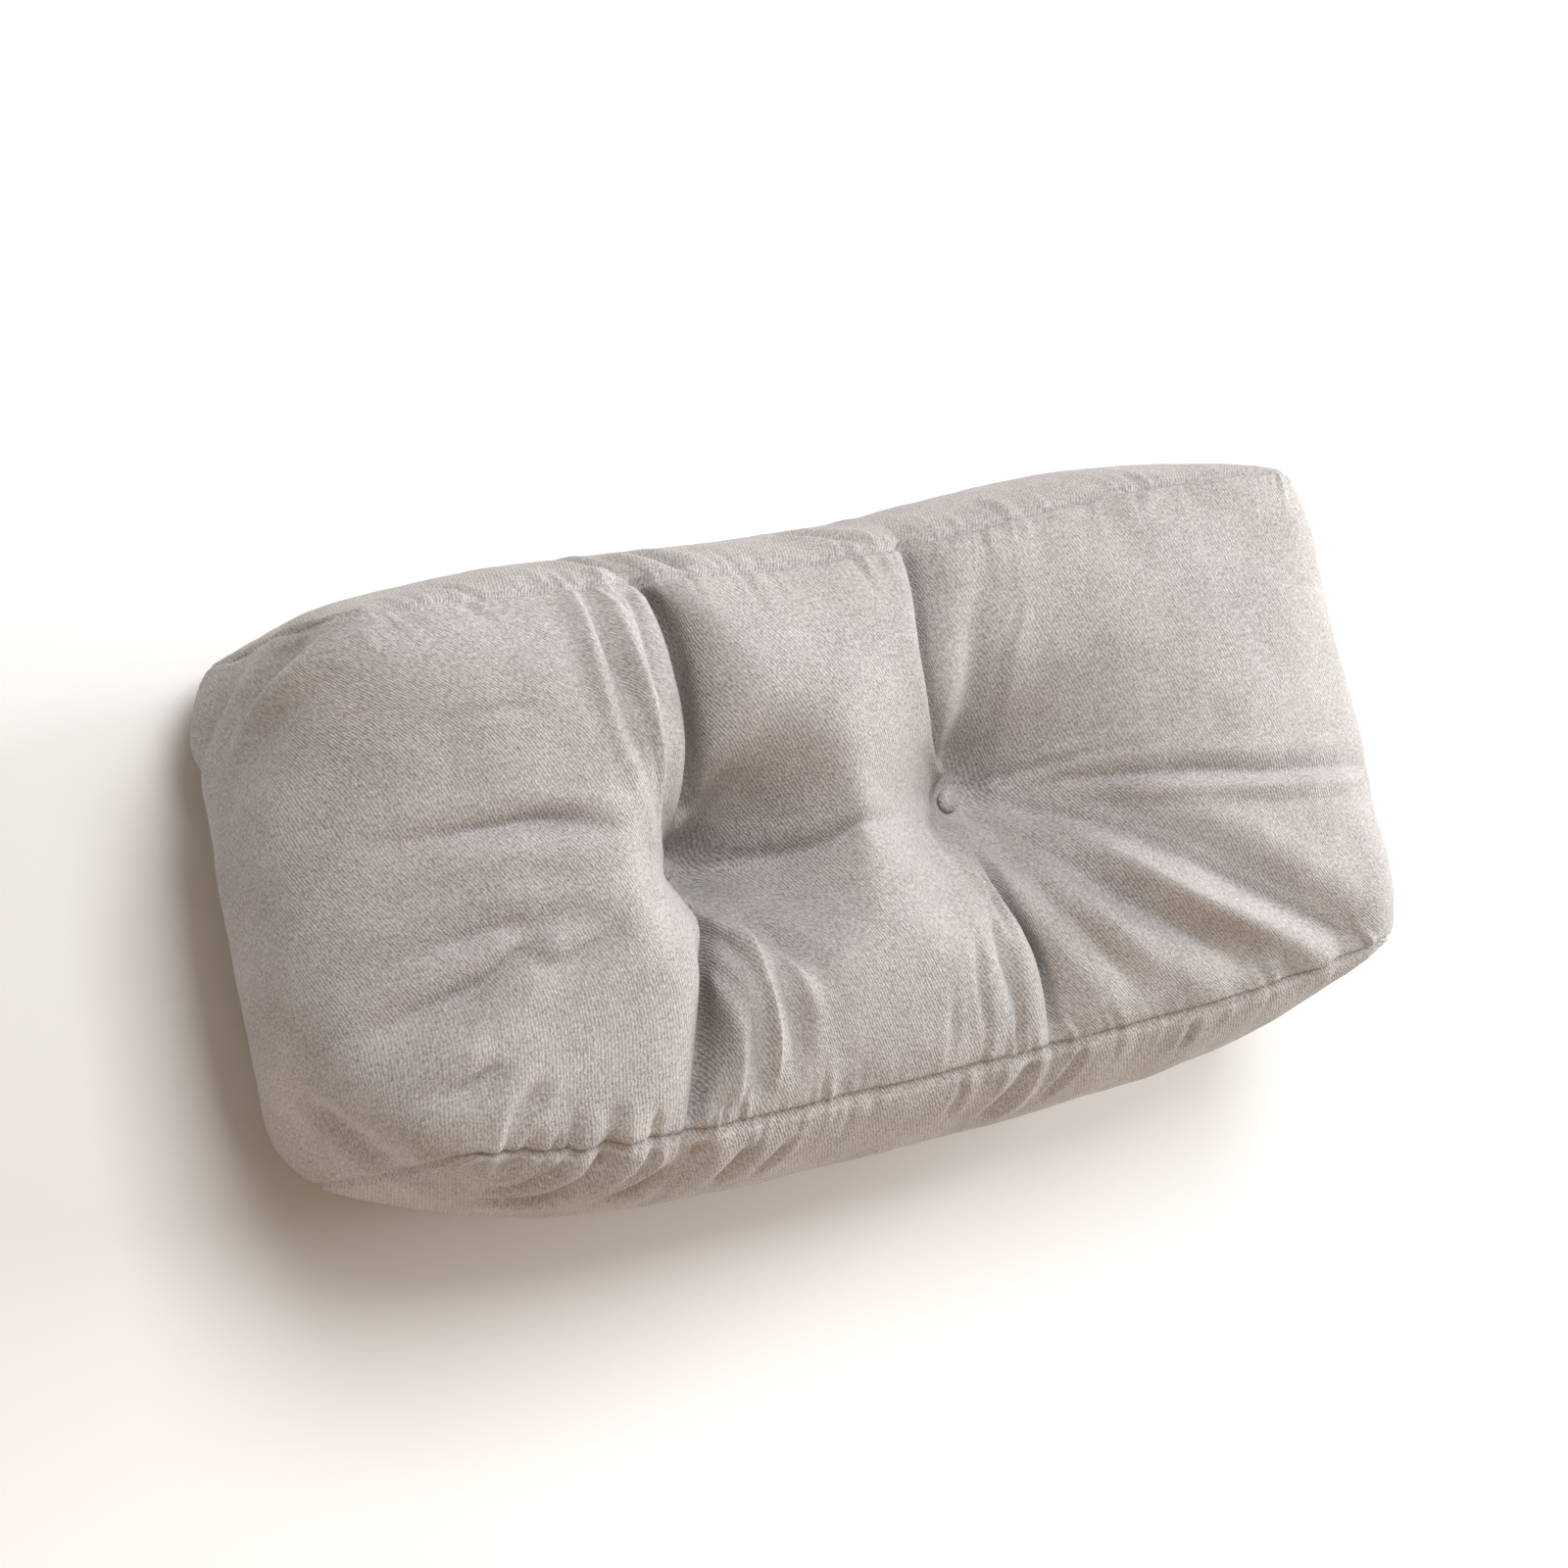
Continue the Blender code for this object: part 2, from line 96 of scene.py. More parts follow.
# How far the long seams stand out of their straight line, along the length
SeamBow = namedtuple("SeamBow", "s top bottom")
SEAM_BOWS = (
    SeamBow(-1.0, 0.0020, 0.0000),
    SeamBow(-0.6, -0.0020, 0.0120),
    SeamBow(0.0, -0.0080, 0.0140),
    SeamBow(0.6, 0.0035, 0.0100),
    SeamBow(1.0, 0.0020, -0.0010),
)

# Main creases, from the top seam past a tuft to the bottom seam. A row gives the height v on the
# cloth, the crease's place u, its depth, how far it draws the cloth down to its left and right,
# and how far the cloth on its left leans over it.
Crease = namedtuple("Crease", "v u depth left right lip")
LEFT_CREASE = (
    Crease(0.132, -0.127, 0.010, 0.030, 0.022, 0.000),
    Crease(0.100, -0.117, 0.032, 0.045, 0.030, 0.003),
    Crease(0.060, -0.117, 0.048, 0.055, 0.038, 0.004),
    Crease(0.020, -0.119, 0.064, 0.060, 0.042, 0.003),
    Crease(-0.013, -0.113, 0.080, 0.060, 0.042, 0.002),
    Crease(-0.032, -0.122, 0.070, 0.058, 0.041, 0.002),
    Crease(-0.055, -0.131, 0.058, 0.055, 0.040, 0.003),
    Crease(-0.095, -0.146, 0.040, 0.048, 0.034, 0.003),
    Crease(-0.146, -0.166, 0.010, 0.030, 0.024, 0.000),
)
RIGHT_CREASE = (
    Crease(0.132, 0.038, 0.010, 0.018, 0.032, 0.000),
    Crease(0.100, 0.031, 0.026, 0.022, 0.075, 0.002),
    Crease(0.060, 0.023, 0.036, 0.024, 0.090, 0.002),
    Crease(0.025, 0.031, 0.048, 0.026, 0.095, 0.002),
    Crease(-0.0075, 0.055, 0.066, 0.030, 0.090, 0.000),
    Crease(-0.035, 0.049, 0.052, 0.028, 0.084, 0.001),
    Crease(-0.065, 0.046, 0.042, 0.026, 0.080, 0.002),
    Crease(-0.100, 0.056, 0.033, 0.025, 0.070, 0.002),
    Crease(-0.146, 0.060, 0.010, 0.020, 0.034, 0.000),
)
CREASE_POWER = 2.0
CREASE_FLOOR_SPREAD = 0.006
LIP_PEAK = 0.3
BLEND = 0.012
HOLD_START = 0.15

# The narrow slit in the bottom of a main crease, with its spread to the left and right
PINCH_DEPTH = 0.0090
PINCH_LEFT = 0.0018
PINCH_RIGHT = 0.0046
PINCH_FADE = 0.020

# The two points where a button's thread pulls the front down to a small flat seat
Tuft = namedtuple("Tuft", "name u v seat_z reach left_power right_power")
TUFTS = (
    Tuft("left", -0.112, -0.013, 0.110, 0.120, 2.5, 2.2),
    Tuft("right", 0.057, -0.0075, 0.126, 0.190, 2.6, 2.4),
)
SEAT_RADIUS = 0.0075
SEAT_SLOPE_RADIUS = 0.0180

# Folds drawn on the unrolled cloth, where u goes on round the ends and v goes on down the
# gussets. A row gives the depth (a ridge where negative), the spread to the left and right of
# the fold's own direction, and the share of the depth left at its two ends.
Fold = namedtuple("Fold", "depth left right first last points")
FOLDS = (
    # Pleats on the left section's flank, above the left tuft
    Fold(0.0050, 0.007, 0.005, 0.7, 0.5,
         ((-0.143, 0.122), (-0.145, 0.080), (-0.146, 0.040), (-0.143, 0.004))),
    Fold(0.0040, 0.008, 0.005, 0.5, 0.4,
         ((-0.159, 0.122), (-0.166, 0.085), (-0.164, 0.048), (-0.154, 0.006))),
    # Pleats in the middle section, below the left tuft
    Fold(0.0050, 0.005, 0.006, 0.5, 0.3,
         ((-0.129, -0.034), (-0.122, -0.058), (-0.119, -0.078), (-0.125, -0.128))),
    Fold(0.0045, 0.007, 0.005, 0.6, 0.1,
         ((-0.117, -0.032), (-0.104, -0.055), (-0.107, -0.090), (-0.106, -0.124))),
    Fold(0.0030, 0.007, 0.006, 0.3, 0.0, ((-0.101, -0.046), (-0.093, -0.068), (-0.086, -0.090))),
    # The hollow and the crease between the tufts
    Fold(0.0080, 0.034, 0.034, 0.9, 0.9, ((-0.105, -0.014), (-0.024, -0.014), (0.060, -0.008))),
    Fold(0.0035, 0.005, 0.006, 0.8, 0.0,
         ((-0.098, -0.014), (-0.071, -0.019), (-0.045, -0.015), (-0.008, -0.012))),
    # Right section, above the right tuft
    Fold(0.0045, 0.011, 0.010, 0.1, 0.8, ((0.080, 0.112), (0.060, 0.075), (0.057, 0.039), (0.056, 0.012))),
    # Pleats left of the crease below the right tuft
    Fold(0.0035, 0.005, 0.006, 0.7, 0.1,
         ((0.042, -0.020), (0.041, -0.043), (0.036, -0.063), (0.035, -0.086))),
    Fold(0.0035, 0.006, 0.006, 0.6, 0.6,
         ((0.034, -0.020), (0.029, -0.050), (0.025, -0.086), (0.033, -0.136))),
    # The long crease across the right section
    Fold(0.0045, 0.006, 0.005, 0.1, 0.3,
         ((0.096, -0.009), (0.130, -0.015), (0.205, -0.027), (0.285, -0.034))),
    # Broad folds running from the right tuft to the lower right corner, and the ridge between them
    Fold(0.0065, 0.012, 0.010, 0.3, 0.7,
         ((0.090, -0.020), (0.122, -0.040), (0.186, -0.083), (0.251, -0.122))),
    Fold(-0.0030, 0.006, 0.010, 0.3, 0.3,
         ((0.103, -0.045), (0.143, -0.078), (0.189, -0.102), (0.236, -0.126))),
    Fold(0.0050, 0.009, 0.009, 0.5, 0.4,
         ((0.080, -0.042), (0.102, -0.070), (0.140, -0.101), (0.180, -0.126))),
    Fold(0.0045, 0.008, 0.009, 0.5, 0.4,
         ((0.064, -0.036), (0.072, -0.067), (0.086, -0.093), (0.106, -0.121))),
    # Short creases across the left section
    Fold(0.0050, 0.006, 0.008, 0.2, 0.3,
         ((-0.275, 0.020), (-0.250, 0.020), (-0.220, 0.018), (-0.186, 0.009))),
    Fold(0.0060, 0.006, 0.009, 0.2, 0.5, ((-0.296, -0.066), (-0.270, -0.054), (-0.243, -0.040))),
    Fold(0.0040, 0.007, 0.008, 0.4, 0.1, ((-0.240, -0.045), (-0.226, -0.050), (-0.188, -0.040))),
    Fold(0.0035, 0.007, 0.008, 0.1, 0.1,
         ((-0.286, -0.036), (-0.258, -0.028), (-0.220, -0.031), (-0.188, -0.033))),
    Fold(0.0040, 0.006, 0.007, 0.1, 0.1, ((-0.296, -0.103), (-0.266, -0.091))),
    # Puckers where the long seams gather the cloth
    Fold(0.0040, 0.006, 0.006, 0.8, 0.0, ((-0.264, -0.140), (-0.259, -0.118), (-0.246, -0.104))),
    Fold(0.0030, 0.006, 0.006, 0.8, 0.0, ((-0.213, -0.146), (-0.211, -0.120))),
    Fold(0.0065, 0.008, 0.008, 0.8, 0.3,
         ((-0.213, -0.148), (-0.221, -0.164), (-0.236, -0.180), (-0.258, -0.190))),
    Fold(0.0050, 0.007, 0.007, 0.9, 0.1,
         ((-0.160, -0.152), (-0.170, -0.163), (-0.182, -0.174), (-0.196, -0.190))),
    Fold(0.0035, 0.006, 0.006, 0.9, 0.0, ((-0.129, -0.160), (-0.132, -0.170), (-0.136, -0.184))),
    Fold(0.0045, 0.007, 0.007, 0.9, 0.0, ((0.044, -0.152), (0.040, -0.168), (0.030, -0.188))),
    Fold(0.0050, 0.007, 0.007, 0.9, 0.2, ((-0.130, 0.132), (-0.139, 0.156), (-0.150, 0.178))),
    Fold(0.0040, 0.006, 0.006, 0.9, 0.0, ((-0.098, 0.134), (-0.104, 0.150), (-0.112, 0.168))),
    Fold(0.0035, 0.006, 0.006, 0.9, 0.0, ((0.009, 0.134), (-0.002, 0.152), (-0.016, 0.170))),
    # The ridge from the upper left corner down the left end, and the hollows beside it
    Fold(-0.0055, 0.008, 0.011, 0.1, 0.0,
         ((-0.284, 0.126), (-0.307, 0.112), (-0.333, 0.101), (-0.366, 0.074))),
    Fold(0.0055, 0.009, 0.007, 0.4, 0.0,
         ((-0.296, 0.129), (-0.320, 0.122), (-0.350, 0.112), (-0.383, 0.094))),
    Fold(0.0070, 0.010, 0.012, 0.3, 0.0,
         ((-0.386, 0.128), (-0.403, 0.112), (-0.412, 0.090), (-0.414, 0.060))),
    Fold(0.0050, 0.010, 0.010, 0.2, 0.0, ((-0.330, -0.128), (-0.352, -0.112), (-0.372, -0.084))),
    Fold(0.0050, 0.010, 0.010, 0.2, 0.0, ((0.335, 0.124), (0.356, 0.104), (0.372, 0.074))),
    Fold(0.0050, 0.010, 0.010, 0.2, 0.0, ((0.330, -0.128), (0.352, -0.108), (0.368, -0.078))),
)
SHOULDER_SHARE = 0.35
SHOULDER_PLACE = 1.9
SHOULDER_SPREAD = 0.9

# Finer creases, which only the cover shows
FINE_FOLDS = (
    # Sharp lips of the pleats beside the left tuft: steep to the right, gentle to the left
    Fold(-0.0030, 0.0022, 0.0075, 0.5, 0.5,
         ((-0.142, 0.123), (-0.146, 0.092), (-0.152, 0.055), (-0.150, 0.004))),
    Fold(-0.0026, 0.0022, 0.0080, 0.4, 0.4,
         ((-0.168, 0.122), (-0.168, 0.086), (-0.162, 0.050), (-0.158, 0.004))),
    Fold(-0.0030, 0.0022, 0.0060, 0.6, 0.4,
         ((-0.134, -0.034), (-0.136, -0.055), (-0.132, -0.087), (-0.138, -0.128))),
    Fold(-0.0030, 0.0022, 0.0065, 0.6, 0.3,
         ((-0.114, -0.030), (-0.110, -0.050), (-0.116, -0.080), (-0.117, -0.125))),
    Fold(-0.0020, 0.0024, 0.0060, 0.3, 0.0,
         ((-0.107, -0.042), (-0.101, -0.064), (-0.098, -0.083), (-0.092, -0.100))),
    # Sharp lips of the pleats beside the right tuft
    Fold(-0.0026, 0.0022, 0.0050, 0.6, 0.2,
         ((0.039, -0.020), (0.037, -0.046), (0.031, -0.068), (0.030, -0.086))),
    Fold(-0.0022, 0.0022, 0.0045, 0.6, 0.2,
         ((0.046, -0.022), (0.0445, -0.044), (0.043, -0.062), (0.045, -0.080))),
    Fold(-0.0022, 0.0024, 0.0060, 0.4, 0.5,
         ((0.026, -0.024), (0.026, -0.060), (0.022, -0.090), (0.030, -0.128))),
    Fold(0.0014, 0.0028, 0.0026, 0.3, 0.2, ((0.010, -0.080), (0.008, -0.104), (0.014, -0.134))),
    Fold(0.0012, 0.0028, 0.0026, 0.2, 0.3, ((-0.010, -0.096), (-0.010, -0.134))),
    # Lip of the crease above the right tuft, and the thin fold beside it
    Fold(-0.0010, 0.0040, 0.0050, 0.4, 0.4, ((0.084, 0.108), (0.066, 0.075), (0.063, 0.039), (0.060, 0.014))),
    Fold(0.0014, 0.0030, 0.0026, 0.3, 0.3, ((0.084, 0.084), (0.072, 0.056), (0.070, 0.012))),
    # The crease between the tufts
    Fold(0.0016, 0.0022, 0.0026, 0.9, 0.1,
         ((-0.095, -0.014), (-0.071, -0.019), (-0.047, -0.015), (-0.011, -0.012))),
    # Sharp lit edge of the long crease across the right section
    Fold(-0.0024, 0.0018, 0.0060, 0.2, 0.5,
         ((0.099, -0.014), (0.153, -0.023), (0.205, -0.032), (0.280, -0.039))),
    Fold(0.0016, 0.0030, 0.0016, 0.2, 0.5,
         ((0.099, -0.011), (0.153, -0.020), (0.205, -0.029), (0.280, -0.036))),
    # Thin creases running out of the right tuft
    Fold(0.0016, 0.0030, 0.0026, 0.7, 0.0, ((0.078, -0.004), (0.112, 0.000), (0.150, -0.002))),
    Fold(0.0022, 0.0030, 0.0034, 0.6, 0.5,
         ((0.078, -0.016), (0.115, -0.040), (0.180, -0.084), (0.249, -0.123))),
    Fold(-0.0022, 0.0026, 0.0080, 0.3, 0.3,
         ((0.103, -0.047), (0.143, -0.080), (0.189, -0.104), (0.236, -0.128))),
    Fold(0.0020, 0.0030, 0.0030, 0.5, 0.3,
         ((0.078, -0.038), (0.102, -0.070), (0.140, -0.101), (0.180, -0.126))),
    Fold(0.0018, 0.0030, 0.0030, 0.5, 0.3,
         ((0.064, -0.036), (0.072, -0.067), (0.086, -0.093), (0.106, -0.121))),
    Fold(0.0014, 0.0028, 0.0028, 0.3, 0.1, ((0.086, -0.026), (0.100, -0.030), (0.122, -0.044))),
    # Sharp bottoms of the short creases across the left section
    Fold(0.0022, 0.0026, 0.0034, 0.2, 0.3,
         ((-0.272, 0.020), (-0.250, 0.020), (-0.220, 0.018), (-0.188, 0.009))),
    Fold(0.0026, 0.0026, 0.0036, 0.2, 0.5, ((-0.294, -0.065), (-0.270, -0.054), (-0.245, -0.041))),
    Fold(0.0018, 0.0028, 0.0034, 0.4, 0.1, ((-0.240, -0.045), (-0.226, -0.050), (-0.196, -0.042))),
    Fold(0.0016, 0.0028, 0.0034, 0.1, 0.1, ((-0.284, -0.036), (-0.258, -0.028), (-0.226, -0.031))),
    Fold(0.0018, 0.0028, 0.0032, 0.1, 0.1, ((-0.294, -0.102), (-0.268, -0.092))),
    Fold(0.0014, 0.0030, 0.0034, 0.1, 0.1, ((-0.262, 0.070), (-0.236, 0.074), (-0.206, 0.070))),
    # Gathers at the lower left corner, on the face
    Fold(-0.0026, 0.0024, 0.0050, 0.7, 0.1, ((-0.266, -0.136), (-0.262, -0.121), (-0.256, -0.110))),
    Fold(-0.0024, 0.0024, 0.0050, 0.7, 0.1, ((-0.262, -0.130), (-0.251, -0.114), (-0.238, -0.102))),
    Fold(0.0018, 0.0026, 0.0026, 0.8, 0.0, ((-0.236, -0.142), (-0.232, -0.120))),
    Fold(0.0016, 0.0026, 0.0026, 0.8, 0.0, ((-0.186, -0.146), (-0.188, -0.126))),
    # Gathers of the bottom gusset
    Fold(0.0026, 0.0034, 0.0034, 0.9, 0.1,
         ((-0.213, -0.148), (-0.221, -0.164), (-0.236, -0.180), (-0.258, -0.190))),
    Fold(0.0024, 0.0034, 0.0034, 0.9, 0.1,
         ((-0.160, -0.152), (-0.170, -0.163), (-0.182, -0.174), (-0.196, -0.190))),
    Fold(0.0022, 0.0034, 0.0034, 0.9, 0.0,
         ((-0.186, -0.150), (-0.196, -0.166), (-0.214, -0.182), (-0.232, -0.190))),
    Fold(0.0020, 0.0030, 0.0030, 0.9, 0.0, ((-0.129, -0.160), (-0.132, -0.170), (-0.136, -0.184))),
    Fold(0.0020, 0.0034, 0.0034, 0.9, 0.0, ((-0.104, -0.160), (-0.108, -0.172), (-0.114, -0.186))),
    Fold(0.0020, 0.0036, 0.0034, 0.9, 0.0, ((0.076, -0.150), (0.072, -0.164), (0.062, -0.180))),
    Fold(0.0018, 0.0034, 0.0034, 0.9, 0.0, ((0.004, -0.154), (0.000, -0.170))),
    Fold(0.0024, 0.0036, 0.0034, 0.9, 0.0, ((-0.240, -0.146), (-0.252, -0.160), (-0.270, -0.172))),
    Fold(0.0018, 0.0034, 0.0034, 0.9, 0.0, ((0.150, -0.148), (0.150, -0.164))),
    # Gathers of the top gusset
    Fold(0.0024, 0.0032, 0.0032, 0.9, 0.0, ((-0.130, 0.132), (-0.138, 0.156), (-0.148, 0.176))),
    Fold(0.0022, 0.0030, 0.0030, 0.9, 0.0, ((-0.098, 0.134), (-0.104, 0.150), (-0.112, 0.168))),
    Fold(0.0020, 0.0030, 0.0030, 0.9, 0.0, ((0.009, 0.134), (-0.002, 0.152), (-0.016, 0.170))),
    Fold(0.0018, 0.0034, 0.0034, 0.9, 0.0, ((-0.220, 0.132), (-0.226, 0.148), (-0.238, 0.160))),
    Fold(0.0018, 0.0034, 0.0034, 0.9, 0.0, ((0.100, 0.136), (0.096, 0.152))),
    Fold(0.0018, 0.0034, 0.0034, 0.9, 0.0, ((0.190, 0.136), (0.192, 0.152))),
)

# Where the cover's mesh is finer: places along the length and the height, and how wide and fine
Finer = namedtuple("Finer", "place spread share")
LENGTH_FINER = (
    Finer(-1.00, 0.030, 2.2),
    Finer(-0.42, 0.130, 1.9),
    Finer(0.17, 0.120, 1.6),
    Finer(1.00, 0.030, 2.2),
)
HEIGHT_FINER = (Finer(-1.0, 0.070, 2.4), Finer(0.0, 0.20, 0.3), Finer(1.0, 0.070, 2.4))
THICKNESS_FINER = (Finer(-1.0, 0.080, 2.6), Finer(1.0, 0.080, 2.6))
UNDERSIDE_BLOCK = 6
PLACE_SOFTENING = 220
NORMAL_SOFTENING = 16
UNDERSIDE_FLAT_Z = 0.00002

# Lengths of the gathers along a seam and of the waves in which they swell and fade, and how far
# from a button's seat the small gathers round it are highest
GATHER_LENGTHS = (0.0078, 0.0113, 0.0171)
SWELL_LENGTHS = (0.061, 0.094)
STAR_REACH = 0.010

# Seam stitches: sides and rings of one stitch, how far it tips to alternate sides, how high it
# lies and arches in thread thicknesses, and the share of its thickness left at its ends
STITCH_SIDES = 6
STITCH_RINGS = 5
STITCH_TILT = 0.22
STITCH_LIFT = 0.62
STITCH_ARCH = 1.6
STITCH_END_SHARE = 0.15

# Buttons
BUTTON_SIDES = 64
BUTTON_RINGS = 14
BUTTON_EDGE_SHARE = 0.26
BUTTON_PLEATS = 17

# The twill, as the scales of its noises in turns a metre: the wander of its ribs, single yarns,
# clumps of yarns, small brushed patches and broad clouds
TWILL_DIAGONAL = (0.90, 0.44, 0.0)
WANDER_SCALE = 340.0
YARN_SCALE = 1250.0
CLUMP_SCALE = 520.0
PATCH_SCALE = 150.0
CLOUD_SCALE = 26.0

# The photograph's camera, in the form's own frame
CAMERA_PLACE = (-1.1775, -0.0773, 1.9275)
CAMERA_RIGHT = (0.8308, -0.2138, 0.5138)
CAMERA_FORWARD = (0.5337, 0.0443, -0.8445)
CAMERA_LENS_MM = 95.6
SENSOR_WIDTH_MM = 36.0

# Floor and soft square lights, which all point at the pillow
FLOOR_HALF_SIZE = 6.0
WORLD_COLOUR = (1.0, 0.84, 0.69, 1.0)
Light = namedtuple("Light", "name place target size colour")
LIGHTS = (
    Light("key", (0.0, 1.10, 2.45), (0.0, 0.0, 0.1), 1.5, (1.0, 1.0, 1.0)),
    Light("side", (4.6, 0.2, 1.25), (0.0, 0.0, 0.1), 2.6, (1.0, 1.0, 1.0)),
    Light("warm", (-0.9, -2.2, 0.72), (0.0, -0.1, 0.05), 1.2, (1.0, 0.66, 0.40)),
)


class CoverSettings(PropertyGroup):
    """Sizes of the sewn cover."""

    length_steps: IntProperty(
        name="Length Steps", description="Mesh steps along the length", default=292, min=60
    )
    height_steps: IntProperty(
        name="Height Steps", description="Mesh steps along the height", default=134, min=30
    )
    thickness_steps: IntProperty(
        name="Thickness Steps", description="Mesh steps through the thickness", default=34, min=12
    )
    seam_depth: FloatProperty(
        name="Seam Depth", description="Depth of the groove along a seam", default=0.0016, unit="LENGTH"
    )
    seam_spread: FloatProperty(
        name="Seam Spread", description="Half the width of the groove along a seam",
        default=0.0017, unit="LENGTH",
    )
    pucker_depth: FloatProperty(
        name="Pucker Depth", description="Height of the gathers beside a seam", default=0.0011, unit="LENGTH"
    )
    pucker_reach: FloatProperty(
        name="Pucker Reach", description="How far from a seam its gathers are highest",
        default=0.0060, unit="LENGTH",
    )
    lump_height: FloatProperty(
        name="Lump Height", description="Height of the filling's soft lumps", default=0.0011, unit="LENGTH"
    )
    lump_size: FloatProperty(
        name="Lump Size", description="Width of the filling's soft lumps", default=0.045, unit="LENGTH"
    )
    star_depth: FloatProperty(
        name="Star Depth", description="Height of the small gathers round a button",
        default=0.0007, unit="LENGTH",
    )


class ClothSettings(PropertyGroup):
    """Colours and weave of the brushed twill."""

    light: FloatVectorProperty(
        name="Light Yarn", description="Colour of the brushed tips", subtype="COLOR", size=3,
        default=(0.598, 0.570, 0.562), min=0.0, max=1.0,
    )
    dark: FloatVectorProperty(
        name="Dark Yarn", description="Colour between the ribs", subtype="COLOR", size=3,
        default=(0.288, 0.266, 0.258), min=0.0, max=1.0,
    )
    rib_pitch: FloatProperty(
        name="Rib Pitch", description="Distance between two twill lines", default=0.0017, unit="LENGTH"
    )
    rib_strength: FloatProperty(
        name="Rib Strength", description="How plainly the twill lines show", default=0.16, subtype="FACTOR"
    )
    nap_strength: FloatProperty(
        name="Nap Strength", description="How strongly the brushed nap mottles",
        default=0.62, subtype="FACTOR",
    )
    relief: FloatProperty(
        name="Relief", description="Height of the weave", default=0.00022, unit="LENGTH"
    )


class StitchSettings(PropertyGroup):
    """Sizes of the seam stitches."""

    pitch: FloatProperty(
        name="Pitch", description="Distance from one stitch to the next", default=0.0046, unit="LENGTH"
    )
    length: FloatProperty(
        name="Length", description="Length of one stitch", default=0.0030, unit="LENGTH"
    )
    thickness: FloatProperty(
        name="Thickness", description="Thickness of the thread", default=0.0006, unit="LENGTH"
    )


class ButtonSettings(PropertyGroup):
    """Sizes of the covered buttons."""

    radius: FloatProperty(
        name="Radius", description="Radius of a covered button", default=0.0060, unit="LENGTH"
    )
    rise: FloatProperty(
        name="Rise", description="Height of a button's dome", default=0.0046, unit="LENGTH"
    )
    pleat: FloatProperty(
        name="Pleat", description="Height of the small pleats round its rim", default=0.00012, unit="LENGTH"
    )


class StageSettings(PropertyGroup):
    """Floor and light."""

    floor_colour: FloatVectorProperty(
        name="Floor Colour", description="Colour of the floor", subtype="COLOR", size=3,
        default=(0.94, 0.94, 0.94), min=0.0, max=1.0,
    )
    world_strength: FloatProperty(
        name="World Strength", description="Strength of the light from all round", default=0.20
    )
    key_power: FloatProperty(
        name="Key Power", description="Power of the high soft key light behind the pillow",
        default=57.0, unit="POWER",
    )
    side_power: FloatProperty(
        name="Side Power", description="Power of the low soft light from the right",
        default=320.0, unit="POWER",
    )
    warm_power: FloatProperty(
        name="Warm Power", description="Power of the low warm light in front", default=12.0, unit="POWER"
    )


def smooth_step(value):
    """Soft step from 0 to 1."""
    value = np.clip(value, 0.0, 1.0)
    return value * value * (3.0 - 2.0 * value)


def smooth_max(first, second):
    """The larger of two depths, with a soft change between them."""
    share = np.clip(0.5 + 0.5 * (first - second) / BLEND, 0.0, 1.0)
    return second + (first - second) * share + BLEND * share * (1.0 - share)


def smooth_line(points, steps=10):
    """Samples of a smooth curve through the points."""
    rows = np.array(points, dtype=float)
    rows = np.vstack([2 * rows[0] - rows[1], rows, 2 * rows[-1] - rows[-2]])
    part = np.linspace(0.0, 1.0, steps, endpoint=False)[:, None]
    runs = []
    for a, b, c, d in zip(rows[:-3], rows[1:-2], rows[2:-1], rows[3:]):
        bend = (2 * a - 5 * b + 4 * c - d) * part**2 + (3 * b - a - 3 * c + d) * part**3
        runs.append(0.5 * (2 * b + (c - a) * part + bend))
    runs.append(rows[-2][None])
    return np.vstack(runs)


def read_column(rows, key, name, place):
    """One column of a table, read smoothly at each place."""
    line = smooth_line([(getattr(row, key), getattr(row, name)) for row in rows])
    order = np.argsort(line[:, 0])
    return np.interp(place, line[order, 0], line[order, 1])


